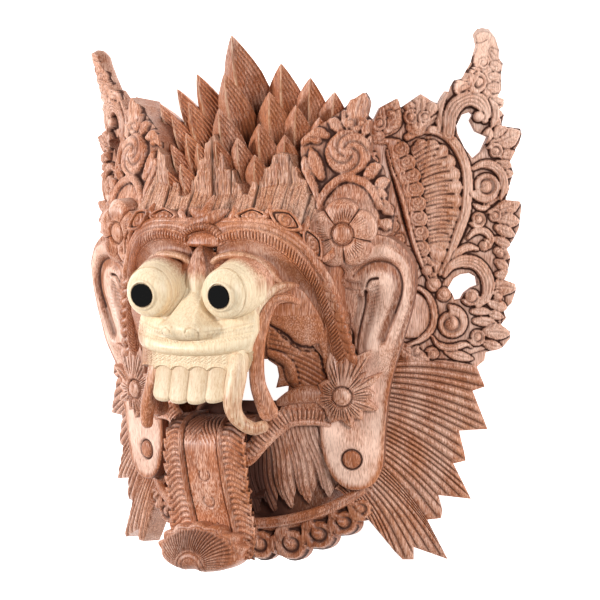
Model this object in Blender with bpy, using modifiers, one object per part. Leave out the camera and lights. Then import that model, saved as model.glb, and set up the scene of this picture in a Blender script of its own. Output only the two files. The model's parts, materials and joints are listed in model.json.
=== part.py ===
"""A carved wooden witch mask: bulging eyes, tusks, a long tongue, a crown of spikes and pierced wings.

The mask lies on its back: +X is its own left, +Y its top and +Z the way it looks. Lengths are in metres.
Free carving is drawn in steps of one 391st of the mask's height, so that it keeps its proportions.
"""

import math

import bmesh
import bpy
from mathutils import Matrix, Vector

# Driving sizes
HEIGHT = 0.391  # from the curl of the tongue to the horn tips
STEP = HEIGHT / 391  # the step that the carving is drawn in

HOLLOW_WALL = 0.036  # wood left between the hollow and the front of the head
HOLLOW_SIDE = 0.026  # wood left at each side of the hollow
WING_THICKNESS = 0.013
WING_ANGLE = math.radians(33.8)  # how far each wing sweeps back
HORN_FOOT = 135  # the horn of a wing leans forward from this height
HORN_TIP = 201
HORN_LEAN = (6.3, -0.4, 11.0)  # how far the left horn's tip comes outward, up and forward
RIGHT_HORN_LEAN = (-9.0, -8.0, 13.0)  # the right one was carved a little lower and leans out further
FAN_THICKNESS = 0.014
EAR_THICKNESS = 0.012
TEMPLE_THICKNESS = 0.024
FLOWER_THICKNESS = 0.012
JAW_FLOWER_THICKNESS = 0.007
RIM_RISE = 0.003  # how far carved rims stand above a wing
LEAF_RISE = 0.0045
PUPIL_RADIUS = 0.0085
PUPIL_DEPTH = 0.005
PUPIL_PROUD = 0.0012  # how far a pupil's face stands out of the eye
PUPIL_CLEARANCE = 0.0003  # around and behind the inlaid pupil
SOCKET_REACH = 0.02  # how far the cutter of a pupil's socket runs out in front
TONGUE_THICKNESS = 0.010
TUSK_RADIUS = 0.0052
PEG_RADIUS = 0.0062
FLATNESS = (4.5, 3, 2, 1, 0.5)  # degrees: faces this close in angle become one, if the skin stays closed

WOOD = ("wood", (0.42, 0.19, 0.10, 1.0), 0.42)
BLACK = ("pupil_black", (0.012, 0.010, 0.010, 1.0), 0.12)

# Head: height up the mask, half width at the floor and reach forward, in steps
HEAD_SECTIONS = (
    (-166, 52, 88),
    (-154, 70, 100),
    (-120, 85, 103),
    (-78, 96, 106),
    (-42, 101, 124),
    (-6, 104, 144),
    (60, 106, 146),
    (86, 102, 131),
    (108, 94, 113),
    (126, 76, 97),
    (138, 52, 78),
)
HEAD_SQUARENESS = 3.4  # power of the superellipse that a section follows
HEAD_POINTS = 18
HOLLOW_HEIGHTS = (-142, -120, -78, -42, 0, 60, 96, 112)
HOLLOW_POINTS = 10
HOLLOW_END = 0.72  # how far the hollow draws in at its top and bottom

# Crown: tip of each spike on the mask's left half, length and half width, in steps
SPIKES = (
    (0, 196, 118, 78, 20),
    (36, 175, 108, 66, 17),
    (57, 164.5, 102, 58, 15),
    (75, 154, 98, 52, 14),
    (90, 139, 90, 46, 12),
    (0, 167, 129, 66, 18),
    (33, 151, 123, 56, 15.5),
    (52, 142, 116, 52, 14),
    (70, 133, 107, 44, 12),
    (0, 141, 136, 56, 16),
    (29, 128, 132, 50, 14),
    (49, 121, 125, 44, 12),
)
SPIKE_LEAN = 0.62  # forward for each step up
SPIKE_DEPTH = 0.8  # half depth of a spike as a share of its half width

# Stepped flames in front of the crown: middle, half width and height of the foot, height and front of the tip
FLAMES = (
    (0, 29, 62, 124, 137),
    (50, 27, 60, 109, 131),
    (83, 18, 54, 94, 112),
)
FLAME_STEPS = 3
FLAME_THICKNESS = 0.026

# Wing, drawn flat: distance out from the middle plane and height
WING_OUTLINE = (
    (96, 118), (112, 128), (119, 143), (132, 150), (135, 142), (149, 153), (161, 145), (166, 155),
    (173, 163), (181, 169), (185, 177), (188, 188), (186, 196), (193, 201), (203, 194), (206, 179),
    (209, 172), (208, 157), (205, 151), (210, 148), (206, 142), (210, 137), (208, 130), (222, 128),
    (222, 120), (214, 104), (217, 95), (211, 76), (223, 74), (221, 55), (212, 40), (215, 31),
    (210, 18), (219, 12), (216, 1), (210, -5), (212, -10), (208, -15), (216, -22), (209, -32),
    (197, -35), (190, -46), (150, -50), (96, -60),
)
WING_HOLES = (
    (
        (179, 138), (187, 139), (186, 133), (189, 126), (198, 122), (193, 111), (187, 106), (177, 121),
        (175, 130),
    ),
    ((169, 12), (173, 19), (178, 22), (185, 23), (190, 20), (191, 14), (183, 11), (179, 4), (174, 3)),
)
RIM_PATH = (
    (137, 112), (146, 125), (156, 127.5), (167, 125), (175, 119), (181, 108), (184, 97), (185, 86),
    (184, 75), (182, 61), (178, 47), (173, 34), (163, 18),
)
RIM_HALF_WIDTH = 3.6
SHELL_LOBES = (
    (146, 118), (156, 119), (166, 115), (173, 106), (177, 97), (178, 85), (177, 75), (175, 62),
    (172, 52), (168, 39), (164, 32),
)
SHELL_INNER = (
    (160, 20), (155, 32), (156, 43), (155, 55), (154, 67), (153, 79), (151, 91), (149, 100), (144, 109),
)
SCALLOPS = (
    (133, 122), (140, 106), (145, 91), (148, 76), (150, 62), (150, 49), (151, 37), (153, 26), (160, 16),
)
SCALLOP_INNER = ((152, 8), (142, 30), (138, 62), (132, 90), (124, 112))
SCROLLS = (
    (117, 132, 7), (145, 140, 8), (188, 160, 7), (194, 85, 13), (201, 115, 8), (203, 64, 9),
    (211, 9, 9), (172, -14, 13), (190, -27, 9), (148, -37, 9),
)

# Feather fan below each wing, drawn on the wing's plane
FAN_OUTLINE = (
    (92, -40), (152, -43), (190, -45), (196, -60), (187, -63), (198, -91), (177, -92), (182, -114),
    (173, -116), (186, -142), (162, -139), (164, -156), (154, -157), (169, -186), (144, -177),
    (144, -186), (136, -186), (121, -169), (111, -157), (84, -132),
)
FEATHERS = (
    (112, -50, 195, -61), (112, -66, 197, -91), (112, -82, 181, -114), (112, -96, 185, -141),
    (108, -110, 164, -156), (104, -120, 168, -184), (96, -126, 143, -185),
)
FEATHER_HALF_WIDTH = 8
FEATHER_RISE = 2.5

# Ear: a thick cane that bends over from the temple flower to a long lobe
EAR_ORIGIN = (88, 0, 108)
EAR_AZIMUTH = math.radians(22)
EAR_TILT = math.radians(-5.7)
EAR_OUTLINE = (
    (2, 24), (-6, 36), (4, 54), (20, 52), (32, 50), (43, 43), (51, 32), (54, 22), (53, 8), (48, -8),
    (42, -25), (36, -42), (30, -58), (26, -83), (23, -106), (22, -119), (17, -128), (8, -134), (-1, -135),
    (-9, -131), (-15, -122), (-19, -108), (-22, -92), (-20, -72), (-4, -52), (6, -40), (8, -25), (10, -14),
    (15, -2), (15, 10), (11, 18),
)
PEG_CENTRE = (0, -112)
CANE_PATH = ((10, 42), (26, 40), (38, 36), (45, 23), (45, 6), (40, -11), (33, -27), (27, -43))
CANE_RADIUS = 9.5
CANE_FLATNESS = 0.75
CANE_SINK = 3  # how far its middle line lies below the ear's face
JAW_FLOWER_CENTRE = (-3, -64)
JAW_FLOWER_RADIUS = 28
FLOWER_CENTRE = (3.4, 53)
FLOWER_RADIUS = 24.5
FLOWER_BOSS_RADIUS = 6.7

# Temple ornament above the flower
TEMPLE_ORIGIN = (95, 52, 116)
TEMPLE_AZIMUTH = math.radians(25)
TEMPLE_TILT = math.radians(8.5)
TEMPLE_OUTLINE = (
    (-20, 14), (-27, 28), (-36, 43), (-39, 65), (-27, 77), (-11, 89), (-5, 97), (5.6, 104), (8, 94), (7, 88),
    (11, 84), (10, 77), (13, 69), (11, 61), (14, 56), (22, 51), (24, 44), (28.5, 41), (27.5, 26), (33, 16),
    (32, 4), (0, -14),
)
ROSETTE = (-3.5, 58, 15)
ARCH_CENTRE = (-1, 18)
ARCH_RADIUS = 23
ARCH_HALF_WIDTH = 2.6

# Face
EYE_ROOT = (38, 15, 120)
EYE_RING = (33, 12, 183)
EYE_PROFILE = ((0, 27), (34, 22), (58, 19.6), (63, 18.6), (66.5, 14), (69, 8))  # distance, radius
EYE_SIDES = 16
PUPIL_CENTRE = (32.3, 8, 188)
PUPIL_AIM = (-0.03, -0.17, 0.98)
PUPIL_SIDES = 16
LID_PATH = (
    (2, 27, 150), (8, 35, 156), (20, 40, 158), (32, 40, 157), (42, 36, 152), (49, 28, 145), (53, 16, 136),
)
LID_RADIUS = 3.2
BROW_PATH = (
    (2, 40, 147), (18, 47, 151), (36, 50, 151.5), (50, 47, 148), (62, 39, 143), (72, 29, 135), (79, 15, 128),
    (84, -1, 121), (87, -19, 114), (88, -36, 108), (86, -52, 102),
)
BROW_RADIUS = 5.6
FOREHEAD_EYE = ((0, 44, 150), 15, 11)
HEADBAND_PATH = ((0, 63, 146), (30, 62, 147), (55, 58, 140), (70, 46, 134), (82, 22, 122))
HEADBAND_RADIUS = 3.8
NOSE_SECTIONS = (
    (32, 4, 150), (18, 6, 163), (2, 9, 176), (-10, 14, 187), (-18, 17, 192), (-26, 14, 184),
)
NOSE_PROFILE = ((-1, 26), (-1, 8), (-0.5, 1.5), (0, 0), (0.5, 1.5), (1, 8), (1, 26))  # share of width, fall
MUZZLE_SECTIONS = (
    (24, 30, 150), (10, 42, 160), (-8, 48, 168), (-20, 50, 174), (-27, 50, 181), (-34, 48, 184),
    (-39, 43, 178),
)
MUZZLE_ROOT = 113
MUZZLE_CURVE = 15  # how far the muzzle falls back at its corners
SMILE = 12  # how far the corners of the mouth rise
JAW_HALF_WIDTH = 39
JAW_FRONT = 176
JAW_CURVE = 5
JAW_THICKNESS = 13
JAW_TOP = -31
GUM_BOTTOM = -46
TOOTH_CENTRES = (-22.3, -7.6, 7.6, 22.3)
TOOTH_HEIGHTS = (-38, -60, -67)
TOOTH_RADII = (7.2, 7.9, 6)
TOOTH_SETBACK = 6  # from the front of the gum to a tooth's middle
TUSK_PATH = (
    (34.5, -38, 164), (34.5, -55, 167), (35.3, -68, 169), (36.8, -75, 168.5), (40.4, -80, 166),
    (45, -85, 162.5), (50, -87, 158.5),
)
TUSK_RADII = (6.4, 6, 5.4, 5, 4.6, 4.2, 3.2)
CHEEK_BAR_PATH = (
    (64, -2, 120), (59, 2, 129), (54, 2, 140), (50.5, -5, 149), (48.5, -22, 155), (46.5, -42, 154.5),
    (45, -62, 147.5), (42, -73, 140), (44, -82, 126),
)
CHEEK_BAR_RADII = (2.5, 3.6, 4.6, 5, 5.6, 6, 7, 7.6, 8)

# Lower face
LOWER_JAW_SECTIONS = ((-76, 60, 122), (-84, 62, 128), (-98, 56, 127), (-112, 46, 116))
LOWER_JAW_ROOT = 78
JAW_BAND_PATH = (
    (0, -112, 133), (14, -111, 133), (24, -106, 132), (33, -95, 129), (41, -86, 125), (50, -79, 120),
    (62, -80, 112),
)
JAW_BAND_RADIUS = 5.5
MOUTH_SECTIONS = ((60, 40), (110, 46), (150, 60))  # height above the floor and half width of the hole
MOUTH_CORNERS = ((-1, -52), (-0.8, -39), (0.8, -39), (1, -52), (0.85, -77), (-0.85, -77))  # share, height
LOCKS = 11
LOCK_TOP = -98
LOCK_BOTTOM = -151
LOCK_RADII = (8.5, 8.5, 6.5, 1.5)
NECK_PATH = (
    (92, -124, 74), (84, -138, 84), (66, -149, 97), (44, -156, 103), (22, -160, 106), (0, -161, 107),
)
NECK_RADIUS = 5.0
FRINGE = ((10, -176, 12), (33, -174, 13), (56, -167, 12), (76, -154, 11))
FRINGE_FRONT = 101
FRINGE_DEPTH = 20

# Tongue: height, reach forward and half width along its middle line, from the mouth to the curl
TONGUE_LINE = (
    (-78, 92, 28), (-79, 120, 29), (-80, 142, 31), (-86, 155, 32), (-98, 160, 33), (-114, 159, 34),
    (-134, 156, 34), (-152, 150, 34.5), (-166, 147, 35), (-175, 149, 36), (-180.5, 154, 36), (-181, 161, 34),
    (-177, 166, 31), (-170, 168, 26),
)
TONGUE_RIDGE = 15


def step_point(point):
    return Vector(point) * STEP


def plane(origin, azimuth, tilt=0.0):
    """The matrix of a drawing plane: its normal turns out by azimuth from straight forward and up by tilt."""
    normal = Vector((math.sin(azimuth) * math.cos(tilt), math.sin(tilt), math.cos(azimuth) * math.cos(tilt)))
    up = Vector((0, normal.z, -normal.y)).normalized()
    across = up.cross(normal)
    matrix = Matrix((across, up, normal)).transposed().to_4x4()
    matrix.translation = step_point(origin)
    return matrix


WING_PLANE = plane((0, 0, 139.7), WING_ANGLE)
EAR_PLANE = plane(EAR_ORIGIN, EAR_AZIMUTH, EAR_TILT)
TEMPLE_PLANE = plane(TEMPLE_ORIGIN, TEMPLE_AZIMUTH, TEMPLE_TILT)


def clear_scene():
    for obj in list(bpy.data.objects):
        bpy.data.objects.remove(obj)


def material(name, colour, roughness):
    made = bpy.data.materials.new(name)
    made.use_nodes = True
    shader = made.node_tree.nodes["Principled BSDF"]
    shader.inputs["Base Color"].default_value = colour
    shader.inputs["Roughness"].default_value = roughness
    shader.inputs["Metallic"].default_value = 0.0
    return made


def link(name, data):
    made = bpy.data.objects.new(name, data)
    bpy.context.scene.collection.objects.link(made)
    return made


def evaluated_mesh(source):
    """An object's mesh in world space, with its modifiers and curve settings applied and its caps welded."""
    bpy.context.view_layer.update()
    graph = bpy.context.evaluated_depsgraph_get()
    data = bpy.data.meshes.new_from_object(source.evaluated_get(graph))
    data.transform(source.matrix_world)
    shape = bmesh.new()
    shape.from_mesh(data)
    bmesh.ops.remove_doubles(shape, verts=shape.verts, dist=STEP * 0.01)
    bmesh.ops.recalc_face_normals(shape, faces=shape.faces)
    shape.to_mesh(data)
    shape.free()
    made = link(source.name + "_solid", data)
    bpy.data.objects.remove(source)
    return made


def shape_object(name, shape):
    bmesh.ops.recalc_face_normals(shape, faces=shape.faces)
    data = bpy.data.meshes.new(name)
    shape.to_mesh(data)
    shape.free()
    return link(name, data)


def mirrored(source):
    """A copy of an object on the mask's other side."""
    data = source.data.copy()
    data.transform(Matrix.Diagonal((-1, 1, 1, 1)))
    data.flip_normals()
    return link(source.name + "_right", data)


def both(parts):
    return parts + [mirrored(part) for part in parts]


def plate(name, outline, matrix, low, high, holes=()):
    """A flat plate between two heights above a drawing plane."""
    curve = bpy.data.curves.new(name, "CURVE")
    curve.dimensions = "2D"
    curve.fill_mode = "BOTH"
    curve.extrude = (high - low) / 2
    for loop in (outline, *holes):
        spline = curve.splines.new("POLY")
        spline.points.add(len(loop) - 1)
        for point, (x, y) in zip(spline.points, loop):
            point.co = (x * STEP, y * STEP, 0, 1)
        spline.use_cyclic_u = True
    made = link(name, curve)
    made.matrix_world = matrix @ Matrix.Translation((0, 0, (high + low) / 2))
    return evaluated_mesh(made)


def tube(name, points, radii, sides=2):
    """A bent bar of changing radius through points given in steps."""
    curve = bpy.data.curves.new(name, "CURVE")
    curve.dimensions = "3D"
    curve.bevel_depth = STEP
    curve.bevel_resolution = sides
    curve.use_fill_caps = True
    spline = curve.splines.new("POLY")
    spline.points.add(len(points) - 1)
    for point, place, radius in zip(spline.points, points, radii):
        point.co = (*step_point(place), 1)
        point.radius = radius
    return evaluated_mesh(link(name, curve))


def loft(name, rings):
    """A solid through rings of as many points each, closed at both ends."""
    shape = bmesh.new()
    loops = [[shape.verts.new(point) for point in ring] for ring in rings]
    count = len(loops[0])
    for first, second in zip(loops, loops[1:]):
        for i in range(count):
            shape.faces.new((first[i], first[(i + 1) % count], second[(i + 1) % count], second[i]))
    shape.faces.new(loops[0])
    shape.faces.new(loops[-1])
    return shape_object(name, shape)


def ellipsoid(name, centre, size, segments=14, rings=8):
    shape = bmesh.new()
    bmesh.ops.create_uvsphere(shape, u_segments=segments, v_segments=rings, radius=1)
    matrix = Matrix.Translation(step_point(centre)) @ Matrix.Diagonal((*(side * STEP for side in size), 1))
    bmesh.ops.transform(shape, matrix=matrix, verts=shape.verts)
    return shape_object(name, shape)


def disc(name, matrix, x, y, radius, low, high, sides=10, top_share=0.72):
    """A round boss on a drawing plane, drawn in a little at its top."""
    shape = bmesh.new()
    foot_radius = radius * STEP
    bmesh.ops.create_cone(
        shape, cap_ends=True, segments=sides, radius1=foot_radius, radius2=foot_radius * top_share,
        depth=high - low,
    )
    place = matrix @ Matrix.Translation((x * STEP, y * STEP, (high + low) / 2))
    bmesh.ops.transform(shape, matrix=place, verts=shape.verts)
    return shape_object(name, shape)


def lobed(points, inner, bulge):
    """The outline of a strip whose one edge swells out between each pair of points."""
    outline = list(inner)
    for (x0, y0), (x1, y1) in zip(points, points[1:]):
        out = Vector((y0 - y1, x1 - x0)) * bulge
        outline += [(x0, y0), (x0 * 0.8 + x1 * 0.2 + out.x, y0 * 0.8 + y1 * 0.2 + out.y)]
        outline.append((x0 * 0.2 + x1 * 0.8 + out.x, y0 * 0.2 + y1 * 0.8 + out.y))
    return outline + [points[-1]]


def offset_path(points, half_width):
    """The closed outline of a band that follows an open path."""
    left, right = [], []
    for i, (x, y) in enumerate(points):
        before = points[max(i - 1, 0)]
        after = points[min(i + 1, len(points) - 1)]
        along = Vector((after[0] - before[0], after[1] - before[1])).normalized()
        left.append((x - along.y * half_width, y + along.x * half_width))
        right.append((x + along.y * half_width, y - along.x * half_width))
    return left + right[::-1]


def flower_outline(x, y, radius, petals, depth, points_each, turn=0.0):
    """Petals as round lobes between notches of the given depth, as a share of the radius."""
    outline = []
    count = petals * points_each
    for i in range(count):
        angle = math.tau * i / count
        lobe = abs(math.cos(petals * angle / 2)) ** 0.6
        reach = radius * (1 - depth + depth * lobe)
        outline.append((x + reach * math.cos(angle + turn), y + reach * math.sin(angle + turn)))
    return outline


def head_section(height, half_width, reach, count=HEAD_POINTS):
    """Half of a superellipse over a flat back, at one height up the mask."""
    ring = []
    for i in range(count + 1):
        angle = math.pi * i / count
        side, front = math.cos(angle), math.sin(angle)
        x = half_width * math.copysign(abs(side) ** (2 / HEAD_SQUARENESS), side)
        z = reach * front ** (2 / HEAD_SQUARENESS) if front > 1e-9 else 0.0
        ring.append(Vector((x, height * STEP, z)))
    return ring


def head_size(height):
    """Half width and reach of the head at a height, between its drawn sections."""
    for (low, width_low, reach_low), (high, width_high, reach_high) in zip(HEAD_SECTIONS, HEAD_SECTIONS[1:]):
        if low <= height <= high:
            share = (height - low) / (high - low)
            width = width_low + share * (width_high - width_low)
            return width * STEP, (reach_low + share * (reach_high - reach_low)) * STEP
    raise ValueError("that height is off the head")


def head():
    return loft("head", [head_section(y, width * STEP, reach * STEP) for y, width, reach in HEAD_SECTIONS])


def hollow():
    """The hollow that a wearer's face goes into, open at the back."""
    rings = []
    ends = (HOLLOW_HEIGHTS[0], HOLLOW_HEIGHTS[-1])
    for height in HOLLOW_HEIGHTS:
        width, reach = head_size(height)
        shrink = HOLLOW_END if height in ends else 1.0
        width = (width - HOLLOW_SIDE) * shrink
        reach = (reach - HOLLOW_WALL) * shrink
        ring = head_section(height, width, reach, HOLLOW_POINTS)
        below = [Vector((point.x, point.y, -10 * STEP)) for point in (ring[-1], ring[0])]
        rings.append(ring + below)
    return loft("hollow", rings)


def spike(number, x, y, z, length, half_width):
    """A four-sided leaf that points up, forward and outward from the crown."""
    along = Vector((0.0055 * x, 1, SPIKE_LEAN)).normalized()
    front = Vector((0.006 * x, 0, 1))
    side = along.cross(front).normalized() * half_width * STEP
    face = side.normalized().cross(-along) * half_width * SPIKE_DEPTH * STEP
    tip = step_point((x, y, z))
    foot = tip - along * length * STEP
    shape = bmesh.new()
    rings = []
    for share, grow in ((0, 0.9), (0.42, 1), (0.74, 0.62)):
        middle = foot.lerp(tip, share)
        rings.append([shape.verts.new(middle + offset * grow) for offset in (side, face, -side, -face)])
    point = shape.verts.new(tip)
    for i in range(4):
        j = (i + 1) % 4
        for low, high in zip(rings, rings[1:]):
            shape.faces.new((low[i], low[j], high[j], high[i]))
        shape.faces.new((rings[-1][i], rings[-1][j], point))
    shape.faces.new(rings[0][::-1])
    return shape_object(f"spike_{number}", shape)


def crown():
    parts = []
    for number, (x, y, z, length, half_width) in enumerate(SPIKES):
        made = spike(number, x, y, z, length, half_width)
        parts += [made] if x == 0 else both([made])
    return parts


def flame_outline(half_width, foot, tip):
    """One flame with stepped sides."""
    right = [(half_width, foot - 8), (half_width, foot + 14)]
    for i in range(1, FLAME_STEPS + 1):
        share = i / (FLAME_STEPS + 1)
        x = half_width * (1 - share)
        y = foot + 14 + (tip - foot - 14) * share ** 1.2
        right += [(x + 2, y - 6), (x, y)]
    left = [(-x, y) for x, y in reversed(right)]
    return right + [(0, tip)] + left


def flames():
    parts = []
    for x, half_width, foot, tip, front in FLAMES:
        matrix = plane((x, 0, front), math.asin(x / 150))
        made = plate("flame", flame_outline(half_width, foot, tip), matrix, -FLAME_THICKNESS, 0)
        parts += [made] if x == 0 else both([made])
    return parts


def lean_horn(part, lean):
    """Bring the top of a wing forward, more and more towards its tip."""
    for vertex in part.data.vertices:
        share = max(0, vertex.co.y / STEP - HORN_FOOT) / (HORN_TIP - HORN_FOOT)
        vertex.co += step_point(lean) * share ** 1.5
    return part


def wing():
    parts = [plate("wing", WING_OUTLINE, WING_PLANE, -WING_THICKNESS, 0, WING_HOLES)]
    parts.append(plate("rim", offset_path(RIM_PATH, RIM_HALF_WIDTH), WING_PLANE, -0.003, RIM_RISE))
    parts.append(plate("shell", lobed(SHELL_LOBES, SHELL_INNER, 0.25), WING_PLANE, -0.0035, RIM_RISE * 0.6))
    parts.append(plate("scallops", lobed(SCALLOPS, SCALLOP_INNER, 0.35), WING_PLANE, -0.004, LEAF_RISE))
    for x, y, radius in SCROLLS:
        parts.append(disc("scroll", WING_PLANE, x, y, radius, -0.0045, RIM_RISE * 1.2, 7))
    right_parts = [lean_horn(mirrored(part), RIGHT_HORN_LEAN) for part in parts]
    return [lean_horn(part, HORN_LEAN) for part in parts] + right_parts


def fan():
    parts = [plate("fan", FAN_OUTLINE, WING_PLANE, -FAN_THICKNESS - 0.001, -0.001)]
    for x0, y0, x1, y1 in FEATHERS:
        along = Vector((x1 - x0, y1 - y0))
        across = Vector((-along.y, along.x)).normalized() * FEATHER_HALF_WIDTH
        shape = bmesh.new()
        low = -0.005
        corners = [
            (x0 + across.x * 0.7, y0 + across.y * 0.7, low), (x0 - across.x * 0.7, y0 - across.y * 0.7, low),
            (x1 - along.x * 0.14 - across.x, y1 - along.y * 0.14 - across.y, low),
            (x1 - along.x * 0.03, y1 - along.y * 0.03, low),
            (x1 - along.x * 0.14 + across.x * 0.8, y1 - along.y * 0.14 + across.y * 0.8, low),
        ]
        foot = [shape.verts.new(WING_PLANE @ Vector((x * STEP, y * STEP, z))) for x, y, z in corners]
        crest = [
            shape.verts.new(WING_PLANE @ Vector((x * STEP, y * STEP, FEATHER_RISE * STEP * rise)))
            for x, y, rise in ((x0, y0, 0.8), (x1 - along.x * 0.14, y1 - along.y * 0.14, 0.3))
        ]
        shape.faces.new((foot[0], foot[1], crest[0]))
        shape.faces.new((foot[1], foot[2], crest[1], crest[0]))
        shape.faces.new((foot[2], foot[3], crest[1]))
        shape.faces.new((foot[3], foot[4], crest[1]))
        shape.faces.new((foot[4], foot[0], crest[0], crest[1]))
        shape.faces.new(foot[::-1])
        parts.append(shape_object("feather", shape))
    return both(parts)


def ear():
    """The ear with its peg, and the flowers on it."""
    parts = [plate("ear", EAR_OUTLINE, EAR_PLANE, -EAR_THICKNESS, 0)]
    cane = tube("cane", [(x, y, 0) for x, y in CANE_PATH], [CANE_RADIUS] * len(CANE_PATH), 1)
    flatten = Matrix.Diagonal((1, 1, CANE_FLATNESS, 1)) @ Matrix.Translation((0, 0, -CANE_SINK * STEP))
    cane.data.transform(EAR_PLANE @ flatten)
    parts.append(cane)
    parts.append(disc("peg", EAR_PLANE, *PEG_CENTRE, PEG_RADIUS / STEP, -RIM_RISE, RIM_RISE * 0.5, 12, 0.9))
    jaw = flower_outline(*JAW_FLOWER_CENTRE, JAW_FLOWER_RADIUS, 9, 0.26, 2)
    parts.append(plate("jaw_flower", jaw, EAR_PLANE, -EAR_THICKNESS * 1.4, JAW_FLOWER_THICKNESS))
    parts.append(disc("jaw_boss", EAR_PLANE, *JAW_FLOWER_CENTRE, 6.5, 0, JAW_FLOWER_THICKNESS * 1.3))
    petals = flower_outline(*FLOWER_CENTRE, FLOWER_RADIUS, 5, 0.2, 6, math.radians(18))
    parts.append(plate("flower", petals, EAR_PLANE, -EAR_THICKNESS * 0.9, FLOWER_THICKNESS))
    boss_top = FLOWER_THICKNESS * 1.2
    parts.append(disc("flower_boss", EAR_PLANE, *FLOWER_CENTRE, FLOWER_BOSS_RADIUS, 0, boss_top))
    return both(parts)


def temple():
    parts = [plate("temple", TEMPLE_OUTLINE, TEMPLE_PLANE, -TEMPLE_THICKNESS, 0)]
    x, y, radius = ROSETTE
    parts.append(disc("rosette", TEMPLE_PLANE, x, y, radius, -RIM_RISE, LEAF_RISE, 12))
    half_ring = [
        (ARCH_CENTRE[0] + ARCH_RADIUS * math.cos(angle), ARCH_CENTRE[1] + ARCH_RADIUS * math.sin(angle))
        for angle in (math.radians(a) for a in range(0, 181, 30))
    ]
    parts.append(plate("arch", offset_path(half_ring, ARCH_HALF_WIDTH), TEMPLE_PLANE, -RIM_RISE, RIM_RISE))
    return both(parts)


def eye():
    """A bulging eye turned about its line of sight, under a rolled lid."""
    aim = step_point(EYE_RING) - step_point(EYE_ROOT)
    profile = [(0, EYE_PROFILE[-1][0])]
    profile += [(radius, distance) for distance, radius in EYE_PROFILE[::-1]] + [(0, 0)]
    data = bpy.data.meshes.new("eye")
    points = [(radius * STEP, 0, distance * STEP) for radius, distance in profile]
    data.from_pydata(points, [(i, i + 1) for i in range(len(points) - 1)], [])
    ball = link("eye", data)
    turn = ball.modifiers.new("Turn", "SCREW")
    turn.steps = turn.render_steps = EYE_SIDES
    turn.use_merge_vertices = True
    turn.merge_threshold = 0.00001
    turned = aim.to_track_quat("Z", "Y").to_matrix().to_4x4()
    ball.matrix_world = Matrix.Translation(step_point(EYE_ROOT)) @ turned
    lid = tube("lid", LID_PATH, [LID_RADIUS] * len(LID_PATH), 1)
    return both([evaluated_mesh(ball), lid])


def pupil_shape(name, radius, depth, proud):
    """A round inlay let into the front of an eye, or the socket for it."""
    aim = Vector(PUPIL_AIM).normalized()
    shape = bmesh.new()
    bmesh.ops.create_cone(
        shape, cap_ends=True, segments=PUPIL_SIDES, radius1=radius, radius2=radius, depth=depth + proud
    )
    turn = aim.to_track_quat("Z", "Y").to_matrix().to_4x4()
    place = Matrix.Translation(step_point(PUPIL_CENTRE) + aim * (proud - depth) / 2) @ turn
    bmesh.ops.transform(shape, matrix=place, verts=shape.verts)
    return shape_object(name, shape)


def nose():
    rings = []
    for y, half_width, front in NOSE_SECTIONS:
        ring = [(half_width * share, y, front - fall) for share, fall in NOSE_PROFILE]
        rings.append([step_point(point) for point in ring])
    return [loft("nose", rings)]


def arc(half_width, front, curve, count):
    """Points across the face that fall back by curve at the ends, as pairs of place and front."""
    shares = [2 * i / (count - 1) - 1 for i in range(count)]
    return [(half_width * share, front - curve * share ** 2) for share in shares]


def muzzle():
    """The mass below the eyes that ends in the upper lip."""
    rings = []
    for y, half_width, front in MUZZLE_SECTIONS:
        across = arc(half_width, front, MUZZLE_CURVE, 9)
        ring = [(x, y + SMILE * (x / half_width) ** 2, z) for x, z in across]
        ring = [(-half_width, y + SMILE, MUZZLE_ROOT)] + ring + [(half_width, y + SMILE, MUZZLE_ROOT)]
        rings.append([step_point(point) for point in ring])
    return [loft("muzzle", rings)]


def upper_jaw():
    """The curved wall of the gum, with its teeth."""
    rings = []
    for y in (JAW_TOP, GUM_BOTTOM):
        outer = arc(JAW_HALF_WIDTH, JAW_FRONT, JAW_CURVE, 7)
        inner = arc(JAW_HALF_WIDTH, JAW_FRONT - JAW_THICKNESS, JAW_CURVE, 7)[::-1]
        rings.append([step_point((x, y, z)) for x, z in outer + inner])
    parts = [loft("upper_jaw", rings)]
    for x in TOOTH_CENTRES:
        front = JAW_FRONT - JAW_CURVE * (x / JAW_HALF_WIDTH) ** 2
        parts.append(tube("tooth", [(x, y, front - TOOTH_SETBACK) for y in TOOTH_HEIGHTS], TOOTH_RADII, 1))
    return parts


def tusk():
    return both([tube("tusk", TUSK_PATH, TUSK_RADII, 1)])


def cheek():
    return both([tube("cheek_bar", CHEEK_BAR_PATH, CHEEK_BAR_RADII, 1)])


def brow():
    radii = [BROW_RADIUS * (1 - 0.3 * i / len(BROW_PATH)) for i in range(len(BROW_PATH))]
    band = tube("headband", HEADBAND_PATH, [HEADBAND_RADIUS] * len(HEADBAND_PATH), 1)
    parts = both([tube("brow", BROW_PATH, radii, 1), band])
    centre, half_width, half_height = FOREHEAD_EYE
    parts.append(ellipsoid("forehead_eye", centre, (half_width, half_height, 5), 10, 6))
    return parts


def mouth():
    """The hole behind the teeth, through to the hollow."""
    rings = []
    for depth, half_width in MOUTH_SECTIONS:
        rings.append([step_point((half_width * share, y, depth)) for share, y in MOUTH_CORNERS])
    return loft("mouth", rings)


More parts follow.
